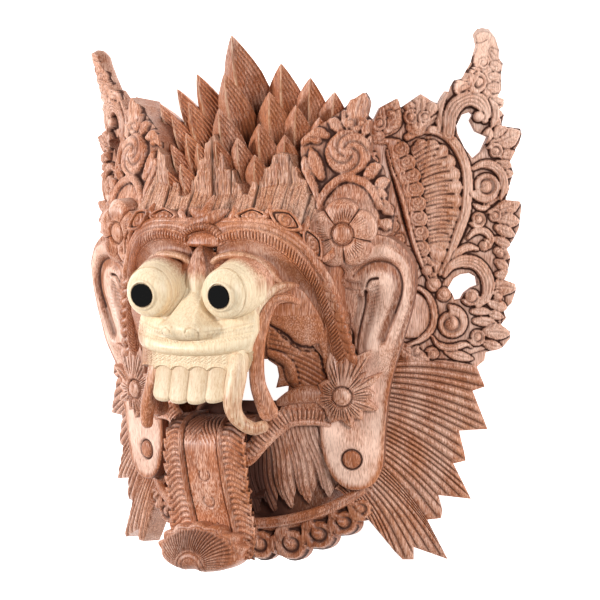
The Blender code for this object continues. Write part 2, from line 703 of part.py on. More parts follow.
def lower_face():
    """Lower jaw and lip, locks of the beard, neck rim and the fringe of scrolls under it."""
    jaw = [head_section(y, width * STEP, reach * STEP, 12) for y, width, reach in LOWER_JAW_SECTIONS]
    for point in (point for ring in jaw for point in ring):
        point.z = max(point.z, LOWER_JAW_ROOT * STEP)
    parts = [loft("lower_jaw", jaw)]
    band = [(-x, y, z) for x, y, z in JAW_BAND_PATH[:0:-1]] + list(JAW_BAND_PATH)
    parts.append(tube("lower_lip", band, [JAW_BAND_RADIUS] * len(band), 1))
    for i in range(LOCKS):
        share = 2 * i / (LOCKS - 1) - 1
        drop = 20 * share ** 2
        top = (66 * share, LOCK_TOP + drop * 0.8, 114 - 22 * share ** 2)
        low = (70 * share, LOCK_BOTTOM + drop, 106 - 18 * share ** 2)
        path = [tuple(a + (b - a) * along for a, b in zip(top, low)) for along in (0, 0.5, 0.78, 1)]
        parts.append(tube("lock", path, LOCK_RADII, 0))
    neck = [(-x, y, z) for x, y, z in NECK_PATH[:-1]] + list(NECK_PATH[::-1])
    parts.append(tube("neck_rim", neck, [NECK_RADIUS] * len(neck), 1))
    for x, y, radius in FRINGE:
        matrix = plane((0, 0, FRINGE_FRONT - 14 * (x / 76) ** 2), math.radians(x * 0.35))
        outline = flower_outline(x, y, radius, 5, 0.2, 2, math.radians(-90 + x * 0.4))
        parts += both([plate("fringe", outline, matrix, -FRINGE_DEPTH * STEP, 0)])
    return parts


def tongue():
    """The tongue comes out of the mouth, hangs and curls up at its end, with a raised middle band."""
    rings = []
    line = [Vector((0, y, z)) for y, z, _ in TONGUE_LINE]
    for i, (_, _, half_width) in enumerate(TONGUE_LINE):
        along = (line[min(i + 1, len(line) - 1)] - line[max(i - 1, 0)]).normalized()
        front = along.cross(Vector((1, 0, 0)))
        side_wave = 1.5 if i % 2 else -1.0
        ring = []
        for x, rise in (
            (-half_width - side_wave, -2.5), (-TONGUE_RIDGE, 0.8), (-TONGUE_RIDGE * 0.8, -1.2),
            (TONGUE_RIDGE * 0.8, -1.2), (TONGUE_RIDGE, 0.8), (half_width + side_wave, -2.5),
        ):
            ring.append(line[i] * STEP + Vector((x * STEP, 0, 0)) + front * rise * STEP)
        thickness = front * TONGUE_THICKNESS
        back = [
            line[i] * STEP + Vector((x * STEP, 0, 0)) - thickness
            for x in (half_width * 0.92, 0, -half_width * 0.92)
        ]
        rings.append(ring + back)
    return [loft("tongue", rings)]


def join(name, parts):
    """One solid from parts that overlap. So many thin parts meet that only MANIFOLD keeps the skin closed."""
    group = bpy.data.collections.new(name + "_parts")
    for part in parts[1:]:
        for collection in list(part.users_collection):
            collection.objects.unlink(part)
        group.objects.link(part)
    base = parts[0]
    union = base.modifiers.new("Join", "BOOLEAN")
    union.operation = "UNION"
    union.operand_type = "COLLECTION"
    union.collection = group
    union.solver = "MANIFOLD"
    solid = evaluated_mesh(base)
    for part in parts[1:]:
        bpy.data.objects.remove(part)
    bpy.data.collections.remove(group)
    solid.name = name
    return solid


def cut(solid, cutters):
    """Take cutters out of a closed solid, by the same solver as the joins."""
    for cutter in cutters:
        bite = solid.modifiers.new("Cut", "BOOLEAN")
        bite.operation = "DIFFERENCE"
        bite.object = cutter
        bite.solver = "MANIFOLD"
        name = solid.name
        solid = evaluated_mesh(solid)
        solid.name = name
        bpy.data.objects.remove(cutter)
    return solid


def fill_pockets(solid):
    """Keep the outer skin alone, so that no sealed pocket stays where parts meet."""
    shape = bmesh.new()
    shape.from_mesh(solid.data)
    left = set(shape.verts)
    skins = []
    while left:
        skin = {left.pop()}
        edge = list(skin)
        while edge:
            links = [link_edge for vert in edge for link_edge in vert.link_edges]
            near = {vert for link_edge in links for vert in link_edge.verts} - skin
            skin |= near
            edge = list(near)
        left -= skin
        skins.append(skin)
    skins.sort(key=len)
    for skin in skins[:-1]:
        bmesh.ops.delete(shape, geom=list(skin), context="VERTS")
    shape.to_mesh(solid.data)
    shape.free()


def smooth_out(solid):
    """Dissolve the slivers that the joins leave in faces that are all but flat."""
    for angle in FLATNESS:
        shape = bmesh.new()
        shape.from_mesh(solid.data)
        bmesh.ops.dissolve_limit(shape, angle_limit=math.radians(angle), verts=shape.verts, edges=shape.edges)
        bmesh.ops.triangulate(shape, faces=shape.faces)
        closed = all(edge.is_manifold for edge in shape.edges)
        if closed:
            shape.to_mesh(solid.data)
        shape.free()
        if closed:
            return


def finish(obj, look):
    obj.data.materials.clear()
    obj.data.materials.append(material(*look))
    obj.data.shade_smooth()
    obj.data.set_sharp_from_angle(angle=math.radians(30))


def settle(objects):
    """Bring the middle of the mask's outline over the origin, with the rim on the floor."""
    points = [vertex.co for obj in objects for vertex in obj.data.vertices]
    low = Vector([min(point[axis] for point in points) for axis in range(3)])
    high = Vector([max(point[axis] for point in points) for axis in range(3)])
    middle = (low + high) / 2
    for obj in objects:
        obj.data.transform(Matrix.Translation((-middle.x, -middle.y, -low.z)))


def gather(name, objects):
    """Move objects into a collection of their own."""
    group = bpy.data.collections.new(name)
    bpy.context.scene.collection.children.link(group)
    for obj in objects:
        bpy.context.scene.collection.objects.unlink(obj)
        group.objects.link(obj)


def carve_mask():
    """Everything that is cut from the one block of wood."""
    block = cut(head(), [hollow()])
    parts = [block] + crown() + flames() + wing() + fan() + ear() + temple()
    parts += muzzle() + eye() + nose() + tusk() + brow() + lower_face()
    mask = join("mask", parts)
    mask = cut(mask, [mouth()])
    mask = join("mask", [mask] + upper_jaw() + cheek() + tongue())
    fill_pockets(mask)
    socket_radius = PUPIL_RADIUS + PUPIL_CLEARANCE
    socket = pupil_shape("socket", socket_radius, PUPIL_DEPTH + PUPIL_CLEARANCE, SOCKET_REACH)
    mask = cut(mask, both([socket]))
    smooth_out(mask)
    return mask


def main():
    clear_scene()
    mask = carve_mask()
    left_pupil = pupil_shape("pupil_left", PUPIL_RADIUS, PUPIL_DEPTH, PUPIL_PROUD)
    right_pupil = mirrored(left_pupil)
    right_pupil.name = "pupil_right"
    settle([mask, left_pupil, right_pupil])
    finish(mask, WOOD)
    finish(left_pupil, BLACK)
    finish(right_pupil, BLACK)
    gather("witch_mask", [mask, left_pupil, right_pupil])


main()
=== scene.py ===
"""The carved surface, wood and light of a wooden witch mask that lies on its back.

Drawn sizes are millimetres in the mask's own frame: +X its left, +Y its top and +Z the way it looks.
"""

import json
import math

import bmesh
import bpy
import numpy as np
from mathutils import Matrix, Vector

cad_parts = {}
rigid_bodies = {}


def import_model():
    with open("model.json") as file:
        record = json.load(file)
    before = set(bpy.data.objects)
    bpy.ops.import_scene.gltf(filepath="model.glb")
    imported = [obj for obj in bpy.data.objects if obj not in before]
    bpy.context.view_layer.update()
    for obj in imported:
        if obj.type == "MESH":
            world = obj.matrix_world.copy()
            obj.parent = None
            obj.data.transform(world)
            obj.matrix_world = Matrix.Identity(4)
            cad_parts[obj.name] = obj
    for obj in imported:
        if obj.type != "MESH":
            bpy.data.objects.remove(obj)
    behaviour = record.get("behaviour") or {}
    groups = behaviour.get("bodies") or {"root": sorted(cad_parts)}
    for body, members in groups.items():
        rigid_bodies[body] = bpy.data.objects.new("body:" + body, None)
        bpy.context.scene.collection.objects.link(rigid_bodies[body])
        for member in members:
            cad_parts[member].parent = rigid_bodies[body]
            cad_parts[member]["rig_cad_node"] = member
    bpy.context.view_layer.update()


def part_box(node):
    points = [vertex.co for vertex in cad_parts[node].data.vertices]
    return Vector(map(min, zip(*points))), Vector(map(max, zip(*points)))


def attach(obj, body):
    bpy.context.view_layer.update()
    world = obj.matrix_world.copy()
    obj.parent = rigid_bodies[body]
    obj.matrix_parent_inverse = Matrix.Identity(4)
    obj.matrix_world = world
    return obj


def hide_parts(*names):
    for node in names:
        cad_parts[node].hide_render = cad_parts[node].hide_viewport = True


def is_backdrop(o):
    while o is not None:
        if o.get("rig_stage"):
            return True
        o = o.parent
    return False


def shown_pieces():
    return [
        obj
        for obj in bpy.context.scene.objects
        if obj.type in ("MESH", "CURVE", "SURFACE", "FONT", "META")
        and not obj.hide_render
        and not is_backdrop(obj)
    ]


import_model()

# The frame gives the scale of a drawn millimetre and the place of the drawing
DRAWN_BOTTOM = -190.6
DRAWN_HEIGHT = 391.2
MASK_LOW, MASK_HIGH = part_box("mask")
STEP = (MASK_HIGH.y - MASK_LOW.y) / DRAWN_HEIGHT
SHIFT = np.array((0.0, MASK_LOW.y - DRAWN_BOTTOM * STEP, 0.0))

GRID = 0.8  # spacing of the points that carved plates are made of
KEPT_SHARE = 0.46  # of the triangles of a piece


# Drawing planes
class Plane:
    """A plane in front of the head that turns out by azimuth and up by tilt, in degrees."""

    def __init__(self, origin, azimuth, tilt=0.0):
        azimuth, tilt = math.radians(azimuth), math.radians(tilt)
        self.origin = np.array(origin, float)
        self.normal = np.array(
            (math.sin(azimuth) * math.cos(tilt), math.sin(tilt), math.cos(azimuth) * math.cos(tilt))
        )
        up = np.array((0, self.normal[2], -self.normal[1]))
        self.up = up / np.linalg.norm(up)
        self.across = np.cross(self.up, self.normal)

    def place(self, flat, height):
        """Points in space for places on the plane and heights above it."""
        flat = np.asarray(flat, float)
        height = np.broadcast_to(height, len(flat))
        return (
            self.origin + flat[:, :1] * self.across + flat[:, 1:2] * self.up + height[:, None] * self.normal
        )


WING_PLANE = Plane((0, 0, 139.7), 33.8)
EAR_PLANE = Plane((88, 0, 108), 22, -5.7)
TEMPLE_PLANE = Plane((95, 52, 116), 25, 8.5)


# Curves and distances
def unit(value):
    """The value, kept between 0 and 1."""
    return np.clip(value, 0, 1)


def peak(value, middle, reach):
    """1 at a middle, and 0 from a reach away."""
    return unit(1 - np.abs(value - middle) / reach)


def grown(value, start, over):
    """0 up to a start, and 1 from a stretch beyond it."""
    return unit((value - start) / over)


def fading(value, end, over):
    """0 from an end on, and 1 from a stretch before it."""
    return unit((end - value) / over)


def hump(share):
    """A parabola: 1 in the middle, and 0 from a share of 1 out."""
    return unit(1 - share ** 2)


def dome(share):
    """A round top: 1 in the middle, and 0 from a share of 1 out."""
    return np.sqrt(hump(share))


def curve_through(points, each=6, closed=False):
    """More points on a smooth curve through the given ones."""
    points = np.asarray(points, float)
    if closed:
        whole = np.vstack([points[-1:], points, points[:2]])
    else:
        whole = np.vstack([2 * points[0] - points[1], points, 2 * points[-1] - points[-2]])
    t = np.linspace(0, 1, each, endpoint=False)[:, None]
    parts = []
    for a, b, c, d in zip(whole, whole[1:], whole[2:], whole[3:]):
        parts.append(
            0.5 * (2 * b + (c - a) * t + (2 * a - 5 * b + 4 * c - d) * t ** 2
                   + (3 * b - a - 3 * c + d) * t ** 3)
        )
    if not closed:
        parts.append(points[-1:])
    return np.vstack(parts)


def near_path(points, path):
    """Each point's distance to a bent line, how far along it that is, and the side, 1 for its left."""
    best = np.full(len(points), np.inf)
    along = np.zeros(len(points))
    side = np.ones(len(points))
    start = 0.0
    for a, b in zip(path, path[1:]):
        ab = b - a
        length = math.hypot(*ab)
        if length < 1e-9:
            continue
        t = unit((points - a) @ ab / length ** 2)
        off = points - a - t[:, None] * ab
        distance = np.hypot(off[:, 0], off[:, 1])
        closer = distance < best
        best[closer] = distance[closer]
        along[closer] = start + t[closer] * length
        side[closer] = np.sign(ab[0] * off[closer, 1] - ab[1] * off[closer, 0])
        start += length
    return best, along, side, start


def inside_loop(points, loop):
    """True for points inside a closed outline."""
    x, y = points[:, 0], points[:, 1]
    inside = np.zeros(len(points), bool)
    for (x0, y0), (x1, y1) in zip(loop, np.roll(loop, -1, axis=0)):
        crosses = (y0 > y) != (y1 > y)
        rise = y1 - y0 if abs(y1 - y0) > 1e-12 else 1e-12
        inside ^= crosses & (x < (x1 - x0) * (y - y0) / rise + x0)
    return inside


def depth_inside(points, loop):
    """Distance to a closed outline, positive inside it."""
    loop = np.asarray(loop, float)
    distance = near_path(points, np.vstack([loop, loop[:1]]))[0]
    return np.where(inside_loop(points, loop), distance, -distance)


def groove(phase, width):
    """1 in the middle of a groove at each whole number of the phase, 0 beyond half its width."""
    off = np.abs(phase - np.round(phase)) * 2 / width
    return hump(off)


def ripple(points, size, seed=0.0):
    """The slow unevenness that a hand leaves, between about -1 and 1."""
    x, y = points[:, 0] / size, points[:, 1] / size
    return (
        np.sin(1.9 * x + 1.3 * y + seed) + np.sin(2.7 * y - 0.8 * x + 2.1 * seed)
        + np.sin(3.1 * x - 2.2 * y + 4 + seed)
    ) / 3


def grid_faces(rows, columns, closed=False):
    """Quads between rows of points, each row as long as the others."""
    index = np.arange(rows * columns).reshape(rows, columns)
    if closed:
        index = np.hstack([index, index[:, :1]])
    corners = (index[:-1, :-1], index[:-1, 1:], index[1:, 1:], index[1:, :-1])
    return np.stack(corners, axis=-1).reshape(-1, 4)


def blur_grid(values, times, closed=False):
    """A grid of values averaged over its neighbours."""
    values = np.array(values, float)
    for _ in range(times):
        wide = np.pad(values, ((1, 1), (0, 0)), mode="edge")
        values = (wide[:-2] + 2 * wide[1:-1] + wide[2:]) / 4
        wide = np.pad(values, ((0, 0), (1, 1)), mode="wrap" if closed else "edge")
        values = (wide[:, :-2] + 2 * wide[:, 1:-1] + wide[:, 2:]) / 4
    return values


def grid_normals(grid, closed=False):
    """Unit normals of a grid of points, towards the viewer who sees columns to the right and rows up."""
    if closed:
        wide = np.concatenate([grid[:, -1:], grid, grid[:, :1]], axis=1)
        across = (wide[:, 2:] - wide[:, :-2]) / 2
    else:
        across = np.gradient(grid, axis=1)
    up = np.gradient(grid, axis=0)
    normals = np.cross(across, up)
    return normals / np.maximum(np.linalg.norm(normals, axis=2), 1e-9)[..., None]


# Pieces
def placed(name, data):
    """An object in the scene for a mesh, a lamp or a camera."""
    made = bpy.data.objects.new(name, data)
    bpy.context.scene.collection.objects.link(made)
    return made


def evaluated(block):
    """An object's mesh with its modifiers applied."""
    return bpy.data.meshes.new_from_object(block.evaluated_get(bpy.context.evaluated_depsgraph_get()))


def thinned(mesh):
    """The mesh with fewer triangles, and the fewest where the wood runs even."""
    block = placed("thinned", mesh)
    block.modifiers.new("thin", "DECIMATE").ratio = KEPT_SHARE
    result = evaluated(block)
    bpy.data.objects.remove(block)
    bpy.data.meshes.remove(mesh)
    return result


class Carving:
    """Surfaces gathered into one piece, with the painted shade of their hollows and their pale sapwood."""

    def __init__(self):
        self.points, self.faces, self.crevice, self.pale = [], [], [], []
        self.count = 0

    def add(self, points, faces, crevice=0.0, pale=0.0):
        points = np.asarray(points, float)
        self.points.append(points)
        self.faces += (np.asarray(faces) + self.count).tolist()
        self.crevice.append(np.broadcast_to(crevice, len(points)))
        self.pale.append(np.broadcast_to(pale, len(points)))
        self.count += len(points)
        return self

    def sheet(self, grid, height=0.0, closed=False, thick=0.0, pale=0.0, dark=0.0):
        """A surface through a grid, columns to the right and rows up, raised along its own normals, with
        painted shade added by the last argument.
        """
        grid = np.asarray(grid, float)
        rows, columns = grid.shape[:2]
        height = np.broadcast_to(height, (rows, columns)).astype(float)
        normals = grid_normals(grid, closed)
        front = grid + height[..., None] * normals
        # Painted shade where the surface lies below its neighbourhood, plus the painted dark that the
        # caller adds
        crevice = unit((blur_grid(height, 8, closed) - height) / 1.2) * 0.75
        crevice = unit(crevice + dark)
        faces = grid_faces(rows, columns, closed)
        pale = np.broadcast_to(pale, (rows, columns)).ravel()
        self.add(front.reshape(-1, 3), faces, crevice.ravel(), pale)
        if thick:
            back = (grid - thick * normals).reshape(-1, 3)
            # The back is painted with at least a little shade
            self.add(back, faces[:, ::-1], np.maximum(crevice.ravel(), 0.15), pale)
            index = np.arange(rows * columns).reshape(rows, columns)
            loops = [index[0], index[-1, ::-1]]
            if not closed:
                loops = [np.concatenate([index[0], index[1:, -1], index[-1, ::-1][1:], index[::-1, 0][1:]])]
            for loop in loops:
                if closed:
                    loop = np.append(loop, loop[0])
                count = len(loop)
                number = np.arange(count - 1)
                quads = np.stack([number + count, number + count + 1, number + 1, number], axis=1)
                # The walls round the rim are painted darker, as shade
                shade = np.maximum(crevice.ravel()[loop], 0.35)
                rim = np.vstack([front.reshape(-1, 3)[loop], back[loop]])
                self.add(rim, quads, np.tile(shade, 2), np.tile(pale[loop], 2))
        return self

    def tube(self, path, radii, around=20, depth=1.0, lift=None, pale=0.0, each=5, dark=0.0):
        """A bar along a path. Depth is a share of its radii, lift raises its skin, and the last argument
        adds painted shade.
        """
        path = curve_through(path, each)
        steps = np.linspace(0, 1, len(path))
        radii = np.interp(steps, np.linspace(0, 1, len(radii)), radii)
        along = np.gradient(path, axis=0)
        along /= np.linalg.norm(along, axis=1)[:, None]
        caps = np.radians((80, 60, 35))
        first = [path[0] - along[0] * radii[0] * math.sin(angle) * 0.8 for angle in caps]
        last = [path[-1] + along[-1] * radii[-1] * math.sin(angle) * 0.8 for angle in caps[::-1]]
        path = np.vstack([first, path, last])
        along = np.vstack([along[:1]] * 3 + [along] + [along[-1:]] * 3)
        ends = np.cos(caps)
        radii = np.concatenate([radii[0] * ends, radii, radii[-1] * ends[::-1]])
        steps = np.concatenate([[0] * 3, steps, [1] * 3])[:, None]
        side = np.cross(along, (0.0, 0.0, 1.0))
        side /= np.linalg.norm(side, axis=1)[:, None]
        face = np.cross(side, along)
        angle = (np.arange(around) * math.tau / around)[None, :, None]
        section = np.sin(angle) * side[:, None] + depth * np.cos(angle) * face[:, None]
        grid = path[:, None] + radii[:, None, None] * section
        height = lift(angle[..., 0], steps) if lift else 0.0
        pale = pale(steps) if callable(pale) else pale
        return self.sheet(grid, height, closed=True, pale=pale, dark=dark)

    def moved(self, change):
        """The same carving with each of its points changed."""
        other = Carving()
        other.points = [change(points) for points in self.points]
        other.faces, other.count = self.faces, self.count
        other.crevice, other.pale = self.crevice, self.pale
        return other

    def mirror(self):
        """The same carving on the mask's other side."""
        other = self.moved(lambda points: points * (-1, 1, 1))
        other.faces = [face[::-1] for face in self.faces]
        return other

    def join(self, other):
        """Take in the surfaces of another carving."""
        self.points += other.points
        self.crevice += other.crevice
        self.pale += other.pale
        self.faces += [[corner + self.count for corner in face] for face in other.faces]
        self.count += other.count

    def make(self, name, sharp=50, bloom=0.05):
        """The piece itself. Wax has bloomed on it by a share that is set or worked out from its points."""
        points = np.vstack(self.points)
        waxed = bloom(points) if callable(bloom) else np.full(len(points), bloom)
        points = points * STEP + SHIFT
        mesh = bpy.data.meshes.new(name)
        mesh.from_pydata(points.tolist(), [], self.faces)
        for label, values in (("crevice", self.crevice), ("pale", self.pale), ("bloom", [waxed])):
            layer = mesh.attributes.new(label, "FLOAT", "POINT")
            layer.data.foreach_set("value", np.concatenate(values).astype(np.float32))
        mesh.materials.append(WOOD)
        mesh.validate()
        mesh = thinned(mesh)
        mesh.name = name
        mesh.shade_smooth()
        mesh.set_sharp_from_angle(angle=math.radians(sharp))
        piece = placed(name, mesh)
        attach(piece, "root")
        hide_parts("mask")

    def make_pair(self, name, sharp=50, bloom=0.05):
        """The piece on the mask's left, and the same one on its right."""
        self.make(name + "_left", sharp, bloom)
        self.mirror().make(name + "_right", sharp, bloom)


class Relief:
    """A carved plate: heights over a drawing plane inside an outline, cut away from a ground."""

    def __init__(self, outline, holes=(), ground=-4.0, spacing=GRID):
        outline = np.asarray(outline, float)
        low, high = outline.min(0) - 2 * spacing, outline.max(0) + 2 * spacing
        self.ground = ground
        self.holes = holes
        columns, rows = np.ceil((high - low) / spacing).astype(int) + 1
        x, y = np.meshgrid(low[0] + spacing * np.arange(columns), low[1] + spacing * np.arange(rows))
        points = np.stack([x.ravel(), y.ravel()], axis=1)
        depth = depth_inside(points, outline)
        for hole in holes:
            depth = np.minimum(depth, -depth_inside(points, hole))
        grid = depth.reshape(rows, columns)
        slope_y, slope_x = np.gradient(grid, spacing)
        size = np.hypot(slope_x, slope_y) + 1e-9
        outside = (depth < 0) & (depth > -1.5 * spacing)
        step = -depth / size.ravel() ** 2
        points[outside, 0] += (step * slope_x.ravel())[outside]
        points[outside, 1] += (step * slope_y.ravel())[outside]
        faces = grid_faces(rows, columns)
        faces = faces[(depth[faces] > 0).any(axis=1)]
        used = np.unique(faces)
        number = np.full(rows * columns, -1)
        number[used] = np.arange(len(used))
        self.faces = number[faces]
        self.number = number.reshape(rows, columns)
        self.places = points[used]
        self.edge = np.maximum(depth[used], 0)
        self.heights = np.full(len(used), float(ground))

    def near(self, path, reach):
        """The places near a path, and what near_path says of them."""
        path = np.asarray(path, float)
        close = (self.places > path.min(0) - reach) & (self.places < path.max(0) + reach)
        chosen = np.flatnonzero(close.all(axis=1))
        return chosen, near_path(self.places[chosen], path)

    def lift(self, chosen, height):
        """Raise places that lie lower than a height."""
        self.heights[chosen] = np.maximum(self.heights[chosen], height)

    def lay(self, chosen, gap, height, cut=1.5, reach=1.2, fall=1.0, contour=0.0):
        """Lay a shape over what is there: gap is the distance outside its edge, and a cut runs round it.

        A contour is a fine line cut along the shape's edge, a little inside it.
        """
        near = (gap >= 0) & (gap < reach)
        index = chosen[near]
        self.heights[index] = np.maximum(self.heights[index] - cut * (1 - gap[near] / reach),
                                         self.ground - 1.2)
        inside = gap < 0
        edge = unit(1 + gap[inside] / 1.2) ** 2
        line = peak(gap[inside], -1.7, 0.65)
        self.heights[chosen[inside]] = height[inside] - fall * edge - contour * line

    def flat(self, outline, height, **lying):
        """A raised flat inside an outline."""
        gap = -depth_inside(self.places, outline)
        chosen = np.flatnonzero(gap < 3)
        self.lay(chosen, gap[chosen], np.full(len(chosen), float(height)), **lying)

    def band(self, path, width, rise, grooves=0, depth=1.0, ends=(0.35, 0.35), dome=0.25, **lying):
        """A round-topped band along a path, narrower at its ends, with grooves that run along it."""
        chosen, (distance, along, side, length) = self.near(curve_through(path), width)
        half = width / 2 * np.interp(along / length, (0, 0.3, 0.75, 1), (ends[0], 1, 1, ends[1]))
        share = distance / half
        top = rise - dome * half * share ** 2
        if grooves:
            phase = (share * side * 0.5 + 0.5) * (grooves + 1)
            top -= depth * groove(phase, 0.5) * (share < 0.88)
        self.lay(chosen, distance - half, top, **lying)

    def lobe(self, x, y, radius, rise, dome=0.6, **lying):
        """A round bump."""
        reach = np.hypot(self.places[:, 0] - x, self.places[:, 1] - y)
        chosen = np.flatnonzero(reach < radius + 3)
        share = unit(reach[chosen] / radius)
        top = rise - dome * radius * (1 - np.sqrt(1 - share ** 2))
        self.lay(chosen, reach[chosen] - radius, top, **lying)

    def hook(self, x, y, radius, rise, hand=1, start=0.0, boss=0.36, cut=2.0, **lying):
        """A curl that winds in like a snail, with a boss, a crescent cut round it and fine lines."""
        chosen = np.flatnonzero(np.hypot(*(self.places - (x, y)).T) < radius * 1.3 + 3)
        turn = math.radians(start)
        off = self.places[chosen] - (x, y)
        reach = np.hypot(off[:, 0], off[:, 1])
        share = (hand * (np.arctan2(off[:, 1], off[:, 0]) - turn) / math.tau) % 1.0
        outline = radius * (0.68 + 0.46 * share)
        ball = radius * boss * (0.85 + 0.4 * share)
        wide = 0.6 + 0.13 * radius * np.sin(math.pi * share) ** 2
        depth = unit(share * 5) * unit((1 - share) * 4 + 0.2)
        top = rise - 0.10 * radius * (1 - share) - cut * depth * hump((reach - ball - wide) / wide)
        if radius > 4.2:
            for inset in (1.9, 3.7):
                line = peak(reach - outline + inset, 0, 0.6)
                top -= 0.8 * line * unit(share * 3) * (reach > ball + 2 * wide)
        top += 0.5 * ball * dome(reach / ball) * (reach < ball)
        self.lay(chosen, reach - outline, top, **lying)

    def leaf(self, path, width, rise, veins=0.0, depth=0.9, fat=0.45, **lying):
        """A leaf from foot to tip, widest at the share fat of its length, with a midrib and side veins."""
        chosen, (distance, along, _, length) = self.near(curve_through(path), width)
        share = unit(along / length)
        swell = np.where(share < fat, 0.6 + 0.4 * np.sin(share / fat * math.pi / 2), 1.0)
        swell = np.where(share > fat, hump((share - fat) / (1 - fat)) ** 0.8, swell)
        half = width / 2 * swell + 1e-6
        off = distance / half
        top = rise - 0.10 * width * off ** 2 - depth * hump(distance / 0.95) * (share < 0.85)
        if veins:
            phase = (along - 0.9 * distance) / veins
            top -= depth * 0.8 * groove(phase, 0.5) * unit((off - 0.15) * 6)
        self.lay(chosen, distance - half, top, **lying)

    def gouge(self, path, width, depth):
        """A cut along a path."""
        chosen, (distance, *_) = self.near(curve_through(path), width)
        self.heights[chosen] -= depth * hump(distance / (width / 2))

    def pit(self, loop, depth, size=2.6):
        """The stippled texture that a small punch leaves inside an outline."""
        inside = inside_loop(self.places, np.asarray(loop, float))
        x, y = self.places[inside, 0] / size, self.places[inside, 1] / size
        bump = np.sin(x * 5.1 + 2.3 * np.sin(y * 1.7)) * np.sin(y * 5.7 + 2.9 * np.sin(x * 2.1 + 1))
        self.heights[inside] -= depth * unit(bump)

    def blurred(self, times):
        """Heights averaged over their neighbourhood on the plate."""
        index = self.number
        on = (index >= 0).astype(float)
        field = np.where(index >= 0, self.heights[index], 0.0)
        weight = on.copy()
        for _ in range(times):
            for values in (field, weight):
                values[1:-1, :] = (values[:-2, :] + 2 * values[1:-1, :] + values[2:, :]) / 4
                values[:, 1:-1] = (values[:, :-2] + 2 * values[:, 1:-1] + values[:, 2:]) / 4
        mean = field / np.maximum(weight, 1e-9)
        out = np.zeros(len(self.heights))
        out[index[index >= 0]] = mean[index >= 0]
        return out

    def soften(self, times=1):
        """Sand the edges of all cuts."""
        self.heights = self.blurred(times)

    def crevices(self):
        """How deep each place lies below what is round it, from 0 to 1, which is painted as shade."""
        near = self.blurred(6) - self.heights
        wide = self.blurred(50) - self.heights
        return unit(near / 0.75) * 0.7 + unit(wide / 3.0) * 0.45

    def round_edge(self, radius):
        """Round the plate's outer edge."""
        share = unit(self.edge / radius)
        self.heights -= radius * 0.8 * (1 - np.sqrt(1 - (1 - share) ** 2))

    def carve(self, plane, back, pale=0.0, carving=None, side_dark=0.3):
        """The plate's front, sides and flat back as a carving, with painted shade on the sides and the
        back.
        """
        carving = carving or Carving()
        front = plane.place(self.places, self.heights)
        carving.add(front, self.faces, self.crevices(), pale)
        count = len(self.places)
        a = self.faces
        edges = np.vstack([a[:, [0, 1]], a[:, [1, 2]], a[:, [2, 3]], a[:, [3, 0]]])
        keys = edges.min(axis=1).astype(np.int64) * count + edges.max(axis=1)
        _, first, times = np.unique(keys, return_index=True, return_counts=True)
        rim = edges[first[times == 1]]
        rim_points = np.unique(rim)
        number = np.full(count, -1)
        number[rim_points] = np.arange(len(rim_points))
        steps = 3
        rim_flat, rim_height = self.places[rim_points], self.heights[rim_points]
        wall = [plane.place(rim_flat, rim_height + (back - rim_height) * i / steps)
                for i in range(steps + 1)]
        walls = []
        for i in range(steps):
            low, high = i * len(rim_points), (i + 1) * len(rim_points)
            walls.append(np.stack([number[rim[:, 1]] + low, number[rim[:, 0]] + low,
                                   number[rim[:, 0]] + high, number[rim[:, 1]] + high], axis=1))
        carving.add(np.vstack(wall), np.vstack(walls), side_dark, pale)
        carving.add(*self.back_face(plane, back, rim, rim_points, number), 0.1, pale)
        return carving

    def back_face(self, plane, back, rim, rim_points, number):
        """A flat face across the back, from the same rim."""
        shape = bmesh.new()
        verts = [shape.verts.new((x, y, 0)) for x, y in self.places[rim_points]]
        edges = []
        for a, b in number[rim]:
            if a != b and not shape.edges.get((verts[a], verts[b])):
                edges.append(shape.edges.new((verts[a], verts[b])))
        bmesh.ops.triangle_fill(shape, use_beauty=False, edges=edges)
        shape.verts.index_update()
        triangles = [face for face in shape.faces if len(face.verts) == 3]
        faces = np.array([[vert.index for vert in face.verts] for face in triangles])
        flat = np.array([vert.co[:2] for vert in shape.verts])
        shape.free()
        middles = flat[faces].mean(axis=1)
        for hole in self.holes:
            outside = depth_inside(middles, hole) < 0.3
            faces, middles = faces[outside], middles[outside]
        return plane.place(flat, back), faces


# Wood
class Signal:
    """A value or colour in a material's node tree. Arithmetic on it adds nodes."""

    def __init__(self, tree, socket):
        self.tree, self.socket = tree, socket

    def worked(self, operation, other):
        made = self.tree.nodes.new("ShaderNodeMath")
        made.operation = operation
        self.tree.links.new(self.socket, made.inputs[0])
        if isinstance(other, Signal):
            self.tree.links.new(other.socket, made.inputs[1])
        else:
            made.inputs[1].default_value = other
        return Signal(self.tree, made.outputs[0])

    def __add__(self, other):
        return self.worked("ADD", other)

    def __sub__(self, other):
        return self.worked("SUBTRACT", other)

    def __mul__(self, other):
        return self.worked("MULTIPLY", other)

    def kept(self):
        """The value, kept between 0 and 1."""
        self.socket.node.use_clamp = True
        return self

    def ramp(self, *stops):
        """A colour ramp over the value."""
        made = self.tree.nodes.new("ShaderNodeValToRGB")
        elements = made.color_ramp.elements
        while len(elements) < len(stops):
            elements.new(0.5)
        for element, (position, colour) in zip(elements, stops):
            element.position = position
            element.color = (*colour, 1)
        self.tree.links.new(self.socket, made.inputs["Fac"])
        return Signal(self.tree, made.outputs["Color"])

    def under(self, share, colour, blend="MIX"):
        """This colour with another laid over it by a share."""
        made = self.tree.nodes.new("ShaderNodeMix")
        made.data_type = "RGBA"
        made.blend_type = blend
        made.clamp_result = True
        for label, value in (("Factor", share), ("A", self), ("B", colour)):
            if isinstance(value, Signal):
                self.tree.links.new(value.socket, made.inputs[label])
            else:
                made.inputs[label].default_value = (*value, 1) if isinstance(value, tuple) else value
        return Signal(self.tree, made.outputs["Result"])

    def into(self, socket):
        self.tree.links.new(self.socket, socket)


